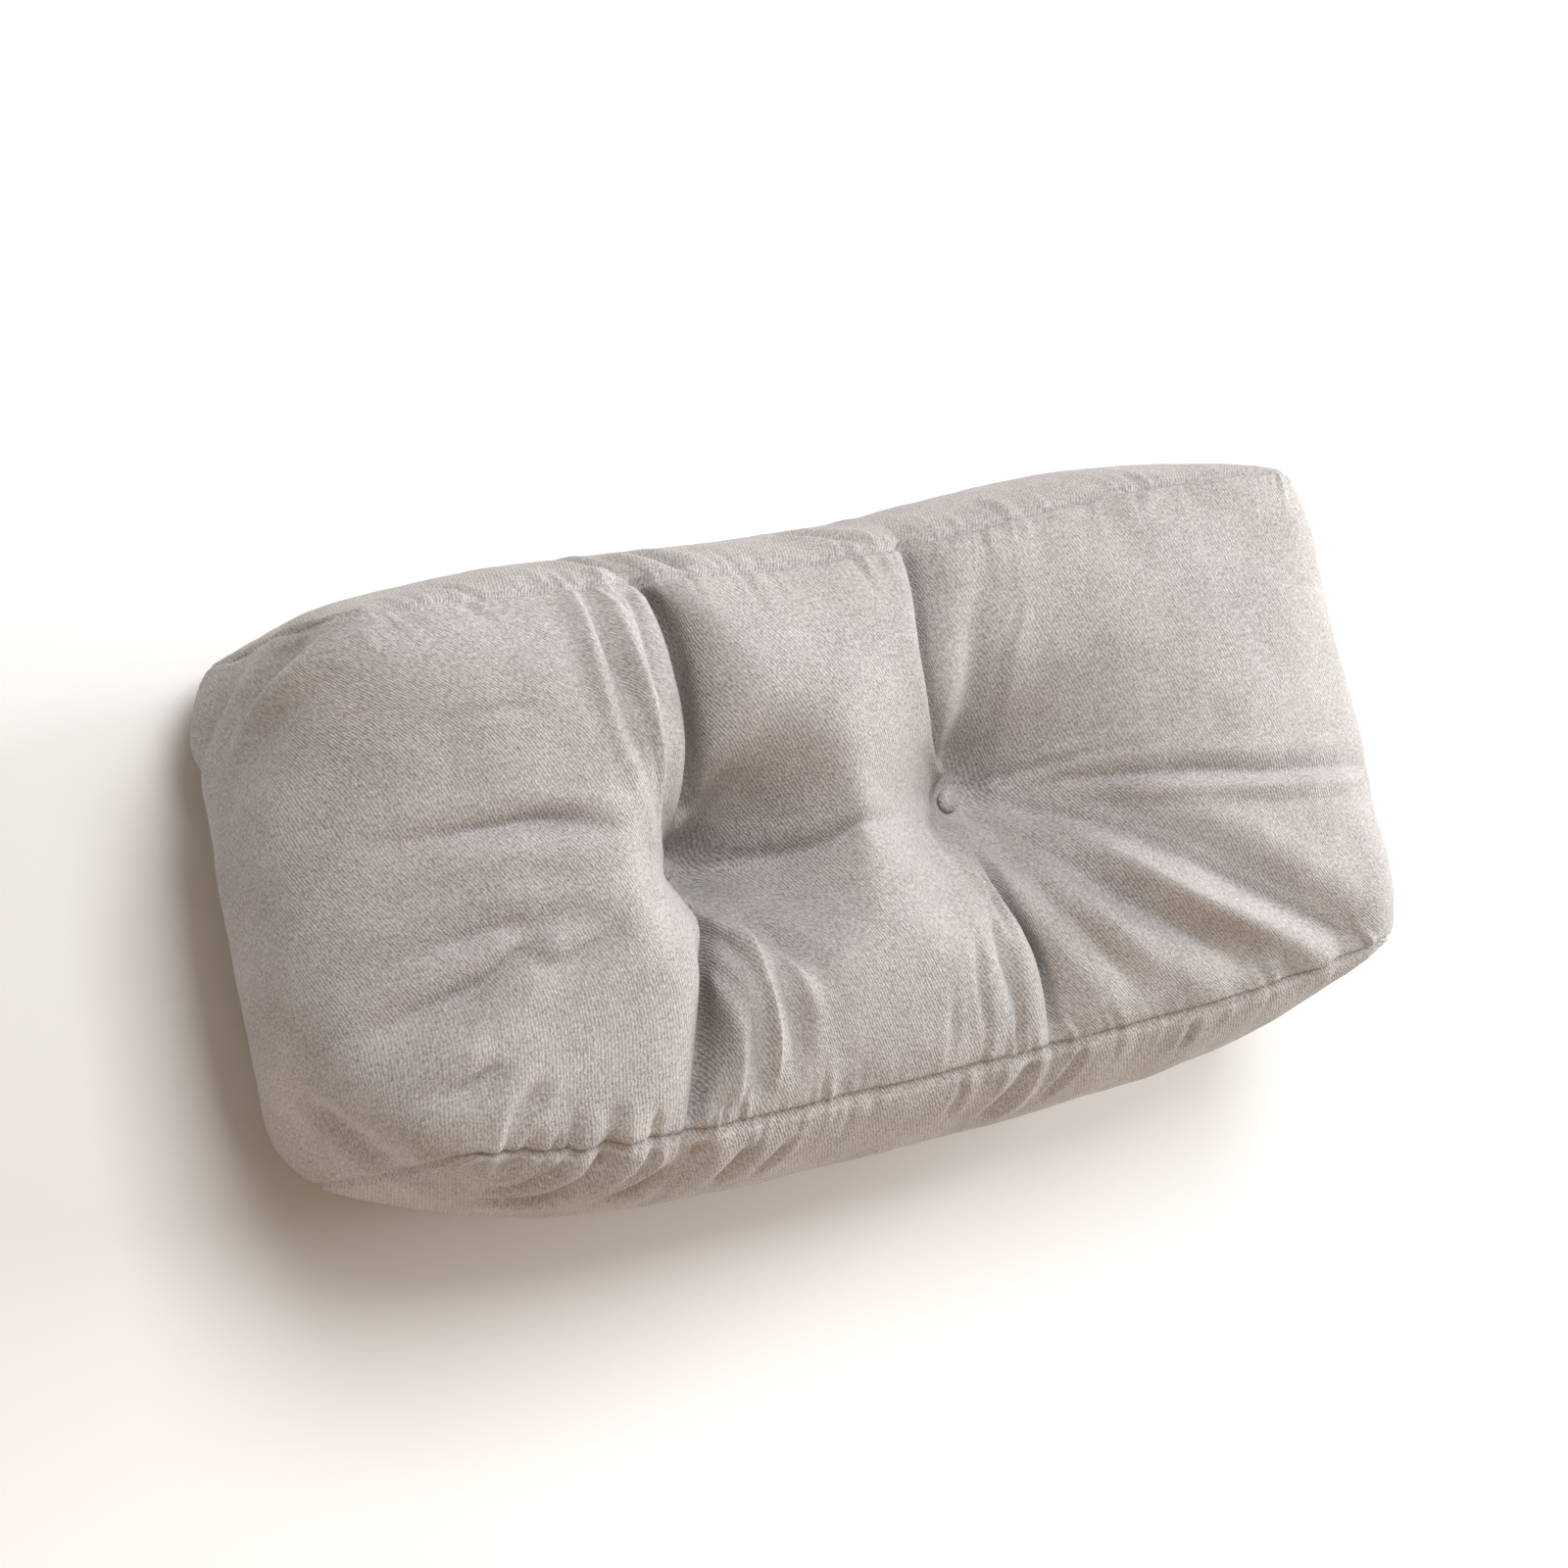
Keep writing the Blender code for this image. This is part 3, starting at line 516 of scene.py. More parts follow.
def filled_form(s, t, w):
    """The filled form before its creases, and each point's place on the unrolled cloth."""
    nearness = np.abs(t)
    on_gusset = nearness > 0.9999
    on_end = (np.abs(s) > 0.9999) & ~on_gusset
    right = smooth_step((s + 1.0) / 2.0)
    squareness = LEFT_SQUARENESS * (1.0 - right) + RIGHT_SQUARENESS * right
    squareness = squareness + (CORNER_SQUARENESS - squareness) * nearness**EDGE_SQUARENESS_POWER
    fullness = 1.0 - nearness**FULLNESS_POWER
    corner = 2.0 ** (1.0 / CORNER_SQUARENESS)
    left_bulge = LEFT_END_BULGE * (1 - LEFT_BULGE_TILT * t)
    right_bulge = RIGHT_END_BULGE * (1 - RIGHT_BULGE_TILT * t)
    bulge = np.where(s < 0, left_bulge, right_bulge)
    crown = np.where(w > 0, FRONT_CROWN, BACK_CROWN)
    half_length = SEAM_LENGTH / 2 * corner + bulge * fullness**END_BULGE_POWER
    half_thickness = GUSSET_WIDTH / 2 * corner + crown * fullness**CROWN_POWER
    squash = (1.0 + np.abs(s * w) ** squareness) ** (1.0 / squareness)
    x = half_length * s / squash
    z = half_thickness * w / squash - SEAM_SAG * nearness * (1 - s**2) * np.clip(w, 0, 1)
    bow = np.where(t > 0, read_column(SEAM_BOWS, "s", "top", s), read_column(SEAM_BOWS, "s", "bottom", s))
    y = SEAM_HEIGHT / 2 * t + bow * t
    lean = np.clip(w + GUSSET_LEAN * (1 - w**2), -1.0, 1.0)
    cap = np.where(t > 0, TOP_GUSSET_BULGE, BOTTOM_GUSSET_BULGE)
    cap = cap * np.clip(1 - s**4, 0, 1) ** GUSSET_ROUNDNESS * np.clip(1 - lean**2, 0, 1) ** GUSSET_ROUNDNESS
    seam_squash = (1.0 + np.abs(s) ** squareness) ** (1.0 / squareness)
    seam_z = half_thickness / seam_squash - SEAM_SAG * nearness * (1 - s**2)
    edge_x = half_length / 2.0 ** (1.0 / squareness)
    u = np.where(on_end, np.sign(s) * (edge_x + seam_z - z), x)
    v = np.where(on_gusset, y + np.sign(t) * (seam_z - z), y)
    y = y + np.where(on_gusset, np.sign(t) * cap, 0.0)
    return np.stack([x, y, z + MIDDLE_Z], axis=1), u, v


def crease_pull(rows, x, y):
    """Depth of one main crease at each point, and how far its lip leans over it."""
    height = np.clip(y, rows[-1].v, rows[0].v)
    names = ("depth", "left", "right", "lip")
    depth, left, right, lip = (read_column(rows, "v", name, height) for name in names)
    offset = x - read_column(rows, "v", "u", height)
    reach = np.clip(np.abs(offset) / np.where(offset < 0, left, right), 0.0, 1.0)
    lean = np.where(offset < 0, lip * reach / LIP_PEAK * np.exp(1.0 - reach / LIP_PEAK), 0.0)
    return depth * (1.0 - reach) ** CREASE_POWER, lean


def tuft_pull(tuft, x, y, z):
    """Depth of the hollow round one tuft, steeper on one side than on the other."""
    across, up = x - tuft.u, y - tuft.v
    away = np.hypot(across, up)
    right = 0.5 + 0.5 * across / np.maximum(away, 1e-6)
    power = tuft.left_power * (1.0 - right) + tuft.right_power * right
    return (z - tuft.seat_z) * np.clip(1.0 - away / tuft.reach, 0.0, 1.0) ** power


def pull_creases(points, w):
    """Draw the front down along the main creases and to the two seats."""
    x, y, z = points.T
    hold = smooth_step((w - HOLD_START) / (1.0 - HOLD_START))
    pulls = []
    lean = np.zeros_like(x)
    for rows, tuft in zip((LEFT_CREASE, RIGHT_CREASE), TUFTS):
        crease, lip = crease_pull(rows, x, y)
        pulls.append(smooth_max(crease, tuft_pull(tuft, x, y, z)))
        lean = lean + lip
    new_z = z - smooth_max(*pulls) * hold
    for tuft in TUFTS:
        away = np.hypot(x - tuft.u, y - tuft.v)
        seat = smooth_step((SEAT_SLOPE_RADIUS - away) / (SEAT_SLOPE_RADIUS - SEAT_RADIUS)) * hold
        new_z = new_z + (tuft.seat_z - new_z) * seat
        lean = lean * (1.0 - seat)
    return np.stack([x + lean * hold, y, new_z], axis=1)


def fold_depth(fold, u, v):
    """Depth of one fold at each place on the cloth: a trough with low raised shoulders."""
    line = smooth_line(fold.points)
    starts, runs = line[:-1], np.diff(line, axis=0)
    lengths = np.linalg.norm(runs, axis=1)
    distances = np.concatenate([[0.0], np.cumsum(lengths)])
    margin = 4.0 * max(fold.left, fold.right)
    low, high = line.min(axis=0) - margin, line.max(axis=0) + margin
    near = np.flatnonzero((u > low[0]) & (u < high[0]) & (v > low[1]) & (v < high[1]))
    from_start = np.stack([u[near], v[near]], axis=1)[:, None] - starts
    share = np.clip((from_start * runs).sum(axis=2) / lengths**2, 0.0, 1.0)
    away = np.linalg.norm(from_start - share[..., None] * runs, axis=2)
    best = away.argmin(axis=1)
    row = np.arange(len(near))
    turn = runs[best, 0] * from_start[row, best, 1] - runs[best, 1] * from_start[row, best, 0]
    side = turn / np.maximum(lengths[best] * away[row, best], 1e-9)
    spread = fold.right + (fold.left - fold.right) * smooth_step(0.5 + 0.5 * side)
    place = (distances[best] + share[row, best] * lengths[best]) / distances[-1]
    ends = fold.first + (fold.last - fold.first) * place
    strength = ends + (1.0 - ends) * np.sin(pi * place) ** 0.8
    reach = away[row, best] / spread
    shoulder = SHOULDER_SHARE * np.exp(-(((reach - SHOULDER_PLACE) / SHOULDER_SPREAD) ** 2))
    depth = np.zeros_like(u)
    depth[near] = fold.depth * strength * (np.exp(-(reach**2)) - shoulder)
    return depth


def graded_levels(count, finer):
    """Steps from -1 to 1, closer together near the given places."""
    fine = np.linspace(-1.0, 1.0, 4001)
    density = np.ones_like(fine)
    for row in finer:
        density = density + row.share * np.exp(-(((fine - row.place) / row.spread) ** 2))
    distances = np.concatenate([[0.0], np.cumsum((density[1:] + density[:-1]) / 2)])
    levels = np.interp(np.linspace(0.0, distances[-1], count + 1), distances, fine)
    levels[0], levels[-1] = -1.0, 1.0
    return levels


def quads_of(ids, outward):
    """Four-sided faces of a grid of point numbers, turned to face out."""
    quads = np.stack([ids[:-1, :-1], ids[1:, :-1], ids[1:, 1:], ids[:-1, 1:]], axis=-1).reshape(-1, 4)
    return quads if outward else quads[:, ::-1]


def cube_panels(counts):
    """Points on a cube's surface, and the point numbers of its six panels as grids."""
    levels = [graded_levels(n, f) for n, f in zip(counts, (LENGTH_FINER, HEIGHT_FINER, THICKNESS_FINER))]
    surface = np.zeros([count + 1 for count in counts], dtype=bool)
    surface[[0, -1]] = surface[:, [0, -1]] = surface[:, :, [0, -1]] = True
    number = np.full(surface.shape, -1)
    number[surface] = np.arange(surface.sum())
    steps = np.argwhere(surface)
    grid = np.stack([level[steps[:, axis]] for axis, level in enumerate(levels)], axis=1)
    panels = {
        "front": (number[:, :, -1], True),
        "back": (number[:, :, 0], False),
        "right_end": (number[-1], True),
        "left_end": (number[0], False),
        "top_gusset": (number[:, -1], False),
        "bottom_gusset": (number[:, 0], True),
    }
    return grid, panels


def point_normals(points, quads):
    """Outward directions at the points."""
    a, b, c, d = (points[quads[:, k]] for k in range(4))
    across = np.cross(c - a, d - b)
    normals = np.zeros_like(points)
    for axis in range(3):
        for k in range(4):
            normals[:, axis] += np.bincount(quads[:, k], across[:, axis], len(points))
    return normals / np.linalg.norm(normals, axis=1, keepdims=True)


def softened(normals, quads):
    """Outward directions averaged with their neighbours, so that deep folds don't cross themselves."""
    for _ in range(NORMAL_SOFTENING):
        middles = normals[quads].mean(axis=1)
        normals = np.zeros_like(normals)
        for axis in range(3):
            for k in range(4):
                normals[:, axis] += np.bincount(quads[:, k], middles[:, axis], len(normals))
        normals = normals / np.linalg.norm(normals, axis=1, keepdims=True)
    return normals


def travelled(grid, axis, start):
    """Length walked over the surface along one axis of a grid of points, from one of its lines.

    Each step is averaged with its neighbours across the axis, so that the weave doesn't jump
    where one line of the grid runs through a tuft and the next one passes it.
    """
    steps = np.linalg.norm(np.diff(grid, axis=axis), axis=2)
    steps = steps if axis == 0 else steps.T
    for _ in range(PLACE_SOFTENING):
        wide = np.pad(steps, ((0, 0), (1, 1)), mode="edge")
        steps = (wide[:, :-2] + wide[:, 1:-1] + wide[:, 2:]) / 3.0
    total = np.concatenate([np.zeros_like(steps[:1]), np.cumsum(steps, axis=0)])
    total = total - total[start]
    return total if axis == 0 else total.T


def cloth_places(points, panels):
    """Each panel's two lengths on the unrolled cloth, as grids."""
    grids = {name: points[ids] for name, (ids, _) in panels.items()}
    front, right, left = grids["front"], grids["right_end"], grids["left_end"]
    middle = front.shape[0] // 2
    half = front.shape[1] // 2
    front_u, front_v = travelled(front, 0, middle), travelled(front, 1, half)
    right_u = front_u[-1][:, None] - travelled(right, 1, -1)
    left_u = front_u[0][:, None] + travelled(left, 1, -1)
    places = {
        "front": (front_u, front_v),
        "right_end": (right_u, np.repeat(front_v[-1][:, None], right_u.shape[1], axis=1)),
        "left_end": (left_u, np.repeat(front_v[0][:, None], left_u.shape[1], axis=1)),
        "back": (right_u[:, 0][None] - travelled(grids["back"], 0, -1), travelled(grids["back"], 1, half)),
    }
    for name in ("top_gusset", "bottom_gusset"):
        places[name] = (travelled(grids[name], 0, middle), 1.0 + travelled(grids[name], 1, -1))
    return {name: np.stack(place, axis=-1) for name, place in places.items()}


def waves(along, lengths, phase):
    """An uneven wave: the mean of a few sines of the given lengths."""
    parts = [np.sin(2 * pi * along / length + phase * (k + 1)) for k, length in enumerate(lengths)]
    return sum(parts) / len(lengths)


def seam_relief(settings, distance, along, phase):
    """The groove of a seam and the gathers beside it, as a height."""
    groove = -settings.seam_depth * np.exp(-((distance / settings.seam_spread) ** 2))
    reach = distance / settings.pucker_reach
    swell = 0.6 + 0.9 * waves(along, SWELL_LENGTHS, phase + 2.0)
    gather = waves(along, GATHER_LENGTHS, phase) * swell
    return groove + settings.pucker_depth * gather * reach * np.exp(1.0 - reach)


def seam_heights(settings, panels, places, count):
    """Height of the seams' grooves and gathers at each point."""
    heights = np.zeros(count)
    for name, (ids, _) in panels.items():
        u, v = places[name][..., 0], places[name][..., 1]
        across = 0 if name in ("right_end", "left_end") else 1
        near_low = np.abs(v - np.take(v, [0], axis=across))
        near_high = np.abs(v - np.take(v, [-1], axis=across))
        relief = seam_relief(settings, near_low, u, 0.7) + seam_relief(settings, near_high, u, 4.1)
        if name.endswith("gusset"):
            relief = relief + seam_relief(settings, np.abs(u - u[:1]), v, 1.9)
            relief = relief + seam_relief(settings, np.abs(u - u[-1:]), v, 5.3)
        heights[ids] = np.maximum(relief, -settings.seam_depth)
    return heights


def lump_heights(settings, points):
    """Soft unevenness of the filling under the cloth."""
    size = settings.lump_size
    broad = [noise.noise(Vector(point) / size) for point in points]
    small = [noise.noise(Vector(point) / (size * 0.38) + Vector((7.1, 3.3, 5.9))) for point in points]
    return settings.lump_height * (np.array(broad) * 1.3 + np.array(small) * 0.45)


def star_heights(settings, points, w):
    """Small gathers that run out from the buttons."""
    heights = np.zeros(len(points))
    for tuft, phase in zip(TUFTS, (0.4, 2.1)):
        across, up = points[:, 0] - tuft.u, points[:, 1] - tuft.v
        away, turn = np.hypot(across, up), np.arctan2(up, across)
        rays = np.sin(9 * turn + phase) * 0.6 + np.sin(14 * turn + 3 * phase) * 0.4
        reach = np.clip(away - SEAT_RADIUS, 0.0, None) / STAR_REACH
        heights += settings.star_depth * rays * reach * np.exp(1.0 - reach) * (w > 0)
    return heights


def floor_share(points, w):
    """How freely the cloth can fold: 0 in the bottom of a main crease and on a button's seat."""
    x, y = points[:, 0], points[:, 1]
    share = smooth_step((w + 1.0) / 0.25)
    for rows, tuft in zip((LEFT_CREASE, RIGHT_CREASE), TUFTS):
        offset = x - read_column(rows, "v", "u", np.clip(y, rows[-1].v, rows[0].v))
        share = share * (1.0 - np.exp(-((offset / CREASE_FLOOR_SPREAD) ** 2)) * smooth_step(w / 0.2))
        away = np.hypot(x - tuft.u, y - tuft.v)
        share = share * smooth_step((away - SEAT_RADIUS) / (SEAT_SLOPE_RADIUS - SEAT_RADIUS))
    return share


def pinch_depth(points, w):
    """Depth of the narrow slit in the bottom of the main creases."""
    x, y = points[:, 0], points[:, 1]
    depth = np.zeros(len(points))
    for rows, tuft in zip((LEFT_CREASE, RIGHT_CREASE), TUFTS):
        offset = x - read_column(rows, "v", "u", np.clip(y, rows[-1].v, rows[0].v))
        ends = smooth_step((rows[0].v - y) / PINCH_FADE) * smooth_step((y - rows[-1].v) / PINCH_FADE)
        away = np.hypot(x - tuft.u, y - tuft.v)
        clear = smooth_step((away - SEAT_SLOPE_RADIUS) / SEAT_RADIUS)
        reach = offset / np.where(offset < 0, PINCH_LEFT, PINCH_RIGHT)
        depth += PINCH_DEPTH * np.exp(-(reach**2)) * ends * clear * (w > 0.99)
    return depth


def rest_on_floor(points):
    """Flatten what would lie below the floor, with a soft turn up at its rim."""
    z = points[:, 2]
    turn = (z + FLOOR_SOFTNESS) ** 2 / (4.0 * FLOOR_SOFTNESS)
    flat = np.where(z < -FLOOR_SOFTNESS, 0.0, np.where(z > FLOOR_SOFTNESS, z, turn))
    return np.stack([points[:, 0], points[:, 1], flat], axis=1)


def cover_form(settings):
    """The cover's points, its panels, their places on the cloth, and its outward directions."""
    grid, panels = cube_panels((settings.length_steps, settings.height_steps, settings.thickness_steps))
    quads = np.concatenate([quads_of(*panel) for panel in panels.values()])
    s, t, w = grid.T
    points, u, v = filled_form(s, t, w)
    points = pull_creases(points, w)
    free = floor_share(points, w)
    depth = sum(fold_depth(fold, u, v) for fold in FOLDS + FINE_FOLDS) * free + pinch_depth(points, w)
    points = points - softened(point_normals(points, quads), quads) * depth[:, None]
    places = cloth_places(points, panels)
    heights = seam_heights(settings, panels, places, len(points))
    heights = heights + (lump_heights(settings, points) + star_heights(settings, points, w)) * free
    points = rest_on_floor(points + point_normals(points, quads) * heights[:, None])
    return points, panels, places, point_normals(points, quads)


def own_shift():
    """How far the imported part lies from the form's own frame."""
    low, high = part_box("button_left")
    middle = (low + high) / 2
    return np.array([middle.x - TUFTS[0].u, middle.y - TUFTS[0].v, 0.0])


def block_rim(ids, row, column, size):
    """The point numbers round one block of a grid."""
    block = ids[row : row + size + 1, column : column + size + 1]
    return np.concatenate([block[:-1, 0], block[-1, :-1], block[:0:-1, -1], block[0, :0:-1]])


def underside_faces(points, ids):
    """Faces of the back: quads where it is round, and large flat faces where it lies on the floor."""
    size = UNDERSIDE_BLOCK
    kept = np.ones((ids.shape[0] - 1, ids.shape[1] - 1), dtype=bool)
    blocks = []
    for row in range(0, kept.shape[0] - size + 1, size):
        for column in range(0, kept.shape[1] - size + 1, size):
            corner = ids[row : row + size + 1, column : column + size + 1]
            if points[corner, 2].max() < UNDERSIDE_FLAT_Z:
                kept[row : row + size, column : column + size] = False
                blocks.append(block_rim(ids, row, column, size)[::-1])
    return quads_of(ids, False)[kept.ravel()], blocks


def cover_faces(points, panels, places):
    """All faces of the cover, and the place on the cloth of each face's corners."""
    faces = []
    corners = []
    for name, (ids, outward) in panels.items():
        place = np.zeros((len(points), 2))
        place[ids] = places[name]
        quads, blocks = underside_faces(points, ids) if name == "back" else (quads_of(ids, outward), [])
        faces.extend(quads.tolist())
        corners.append(place[quads.ravel()])
        for block in blocks:
            faces.append(block.tolist())
            corners.append(place[block])
    return faces, np.concatenate(corners)


def add_piece(name, mesh, material, body="root"):
    """Put a mesh into the scene as a piece that rides on a body and takes its finish from a slot."""
    mesh.materials.append(material)
    mesh.shade_smooth()
    piece = bpy.data.objects.new(name, mesh)
    bpy.context.scene.collection.objects.link(piece)
    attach(piece, body)
    return piece


def write_places(mesh, corners):
    """Keep each face corner's place on the cloth, in metres, for the weave."""
    place = np.zeros((len(corners), 3), dtype=np.float32)
    place[:, :2] = corners
    mesh.attributes.new("cloth_place", "FLOAT_VECTOR", "CORNER").data.foreach_set("vector", place.ravel())


def new_socket(group, name, kind, flow, default=None):
    """Add a named socket to a node group."""
    socket = group.interface.new_socket(name=name, in_out=flow, socket_type=kind)
    if default is not None:
        socket.default_value = default
    return socket


def maths(nodes, links, operation, first, second=None):
    """A Math node fed by sockets or numbers; returns its output."""
    node = nodes.new("ShaderNodeMath")
    node.operation = operation
    for value, slot in ((first, 0), (second, 1)):
        if value is None:
            continue
        if isinstance(value, (int, float)):
            node.inputs[slot].default_value = value
        else:
            links.new(value, node.inputs[slot])
    return node.outputs[0]


def noise_value(nodes, links, place, scale, detail, roughness=0.5):
    """A noise texture read at a place; returns its value."""
    node = nodes.new("ShaderNodeTexNoise")
    node.inputs["Scale"].default_value = scale
    node.inputs["Detail"].default_value = detail
    node.inputs["Roughness"].default_value = roughness
    links.new(place, node.inputs["Vector"])
    return node.outputs["Fac"]


def brushed_twill_group():
    """Node group of the brushed twill: ribs, salt and pepper grain and mottled nap."""
    found = bpy.data.node_groups.get("Brushed twill")
    if found:
        return found
    group = bpy.data.node_groups.new("Brushed twill", "ShaderNodeTree")
    new_socket(group, "Place", "NodeSocketVector", "INPUT")
    new_socket(group, "Light Yarn", "NodeSocketColor", "INPUT", (0.56, 0.52, 0.50, 1.0))
    new_socket(group, "Dark Yarn", "NodeSocketColor", "INPUT", (0.33, 0.30, 0.28, 1.0))
    new_socket(group, "Rib Pitch", "NodeSocketFloat", "INPUT", 0.0017)
    new_socket(group, "Rib Strength", "NodeSocketFloat", "INPUT", 0.16)
    new_socket(group, "Nap Strength", "NodeSocketFloat", "INPUT", 0.42)
    new_socket(group, "Color", "NodeSocketColor", "OUTPUT")
    new_socket(group, "Roughness", "NodeSocketFloat", "OUTPUT")
    new_socket(group, "Height", "NodeSocketFloat", "OUTPUT")
    nodes, links = group.nodes, group.links
    source = nodes.new("NodeGroupInput")
    result = nodes.new("NodeGroupOutput")
    place = source.outputs["Place"]

    # Ribs: a sine along the diagonal, broken up by a fine wander
    diagonal = nodes.new("ShaderNodeVectorMath")
    diagonal.operation = "DOT_PRODUCT"
    diagonal.inputs[1].default_value = TWILL_DIAGONAL
    links.new(place, diagonal.inputs[0])
    wander = noise_value(nodes, links, place, WANDER_SCALE, 2.0)
    turns = maths(nodes, links, "DIVIDE", diagonal.outputs["Value"], source.outputs["Rib Pitch"])
    turns = maths(nodes, links, "ADD", turns, maths(nodes, links, "MULTIPLY", wander, 1.5))
    rib = maths(nodes, links, "SINE", maths(nodes, links, "MULTIPLY", turns, 2 * pi))

    # Grain: single yarns of lighter and darker colour; nap: patches brushed one way or the other
    grain = maths(nodes, links, "SUBTRACT", noise_value(nodes, links, place, YARN_SCALE, 2.0, 0.7), 0.5)
    clump = maths(nodes, links, "SUBTRACT", noise_value(nodes, links, place, CLUMP_SCALE, 2.0, 0.6), 0.5)
    grain = maths(nodes, links, "ADD", grain, maths(nodes, links, "MULTIPLY", clump, 1.5))
    patch = maths(nodes, links, "SUBTRACT", noise_value(nodes, links, place, PATCH_SCALE, 3.0, 0.6), 0.5)
    cloud = maths(nodes, links, "SUBTRACT", noise_value(nodes, links, place, CLOUD_SCALE, 2.0), 0.5)

    ribs = maths(nodes, links, "MULTIPLY", rib, source.outputs["Rib Strength"])
    nap = maths(nodes, links, "ADD", patch, maths(nodes, links, "MULTIPLY", cloud, 0.9))
    nap = maths(nodes, links, "MULTIPLY", nap, source.outputs["Nap Strength"])
    share = maths(nodes, links, "ADD", ribs, maths(nodes, links, "MULTIPLY", grain, 1.35))
    share = maths(nodes, links, "ADD", share, nap)
    share = maths(nodes, links, "ADD", share, 0.55)
    colour = nodes.new("ShaderNodeMix")
    colour.data_type = "RGBA"
    links.new(share, colour.inputs["Factor"])
    links.new(source.outputs["Dark Yarn"], colour.inputs["A"])
    links.new(source.outputs["Light Yarn"], colour.inputs["B"])
    links.new(colour.outputs["Result"], result.inputs["Color"])

    rough = maths(nodes, links, "MULTIPLY", nap, -0.15)
    links.new(maths(nodes, links, "ADD", rough, 0.86), result.inputs["Roughness"])
    height = maths(nodes, links, "MULTIPLY", rib, 0.45)
    height = maths(nodes, links, "ADD", height, maths(nodes, links, "MULTIPLY", grain, 1.4))
    links.new(maths(nodes, links, "ADD", height, patch), result.inputs["Height"])
    return group


def twill_material(name, cloth, rib_strength, lightness=1.0):
    """Brushed twill: the group's colour and relief in a soft shader with a velvety sheen."""
    material = bpy.data.materials.new(name)
    material.use_nodes = True
    nodes, links = material.node_tree.nodes, material.node_tree.links
    shader = nodes["Principled BSDF"]
    place = nodes.new("ShaderNodeAttribute")
    place.attribute_name = "cloth_place"
    weave = nodes.new("ShaderNodeGroup")
    weave.node_tree = brushed_twill_group()
    weave.inputs["Light Yarn"].default_value = [min(1.0, part * lightness) for part in cloth.light] + [1.0]
    weave.inputs["Dark Yarn"].default_value = [part * lightness for part in cloth.dark] + [1.0]
    weave.inputs["Rib Pitch"].default_value = cloth.rib_pitch
    weave.inputs["Rib Strength"].default_value = rib_strength
    weave.inputs["Nap Strength"].default_value = cloth.nap_strength
    links.new(place.outputs["Vector"], weave.inputs["Place"])
    bump = nodes.new("ShaderNodeBump")
    bump.inputs["Distance"].default_value = cloth.relief
    bump.inputs["Strength"].default_value = 1.0
    links.new(weave.outputs["Height"], bump.inputs["Height"])
    links.new(weave.outputs["Color"], shader.inputs["Base Color"])
    links.new(weave.outputs["Roughness"], shader.inputs["Roughness"])
    links.new(bump.outputs["Normal"], shader.inputs["Normal"])
    shader.inputs["Specular IOR Level"].default_value = 0.18
    shader.inputs["Sheen Weight"].default_value = 0.22
    shader.inputs["Sheen Roughness"].default_value = 0.45
    shader.inputs["Sheen Tint"].default_value = (0.93, 0.90, 0.88, 1.0)
    return material


def seam_loop(points, normals, ids):
    """The seam round one gusset, as closed lines of points and outward directions."""
    ring = np.concatenate([ids[:-1, -1], ids[-1, :0:-1], ids[:0:-1, 0], ids[0, :-1]])
    ring = np.append(ring, ring[0])
    return points[ring], normals[ring]


def read_loop(lengths, table, place):
    """One row of a closed line's table, read at a length along the line."""
    return np.array([np.interp(place % lengths[-1], lengths, column) for column in table.T])


def stitch_ring(settings, points, normals):
    """Rounded stitches, one after another along a seam: their points and faces."""
    lengths = np.concatenate([[0.0], np.cumsum(np.linalg.norm(np.diff(points, axis=0), axis=1))])
    count = int(lengths[-1] / settings.pitch)
    centres = (np.arange(count) + 0.5) * lengths[-1] / count
    rows = np.linspace(-0.5, 0.5, STITCH_RINGS)
    found, faces = [], []
    for number, centre in enumerate(centres):
        after = read_loop(lengths, points, centre + settings.length / 2)
        before = read_loop(lengths, points, centre - settings.length / 2)
        along = (after - before) / np.linalg.norm(after - before)
        out = read_loop(lengths, normals, centre)
        out = out - along * out.dot(along)
        out = out / np.linalg.norm(out)
        side = np.cross(out, along)
        along = along + side * STITCH_TILT * (1 if number % 2 else 0.8)
        along = along / np.linalg.norm(along)
        side = np.cross(out, along)
        middle = read_loop(lengths, points, centre) + out * settings.thickness * STITCH_LIFT
        base = len(found)
        for row in rows:
            swell = STITCH_END_SHARE + (1.0 - STITCH_END_SHARE) * (1.0 - (2 * row) ** 4) ** 0.5
            arch = -(row**2) * settings.thickness * STITCH_ARCH
            for k in range(STITCH_SIDES):
                turn = 2 * pi * k / STITCH_SIDES
                offset = (side * cos(turn) + out * sin(turn)) * settings.thickness / 2 * swell
                found.append(middle + along * row * settings.length + out * arch + offset)
        for ring in range(STITCH_RINGS - 1):
            for k in range(STITCH_SIDES):
                following = (k + 1) % STITCH_SIDES
                low, high = base + ring * STITCH_SIDES, base + (ring + 1) * STITCH_SIDES
                faces.append((low + k, high + k, high + following, low + following))
        last = base + (STITCH_RINGS - 1) * STITCH_SIDES
        faces.append([base + k for k in range(STITCH_SIDES)])
        faces.append([last + k for k in reversed(range(STITCH_SIDES))])
    return found, faces


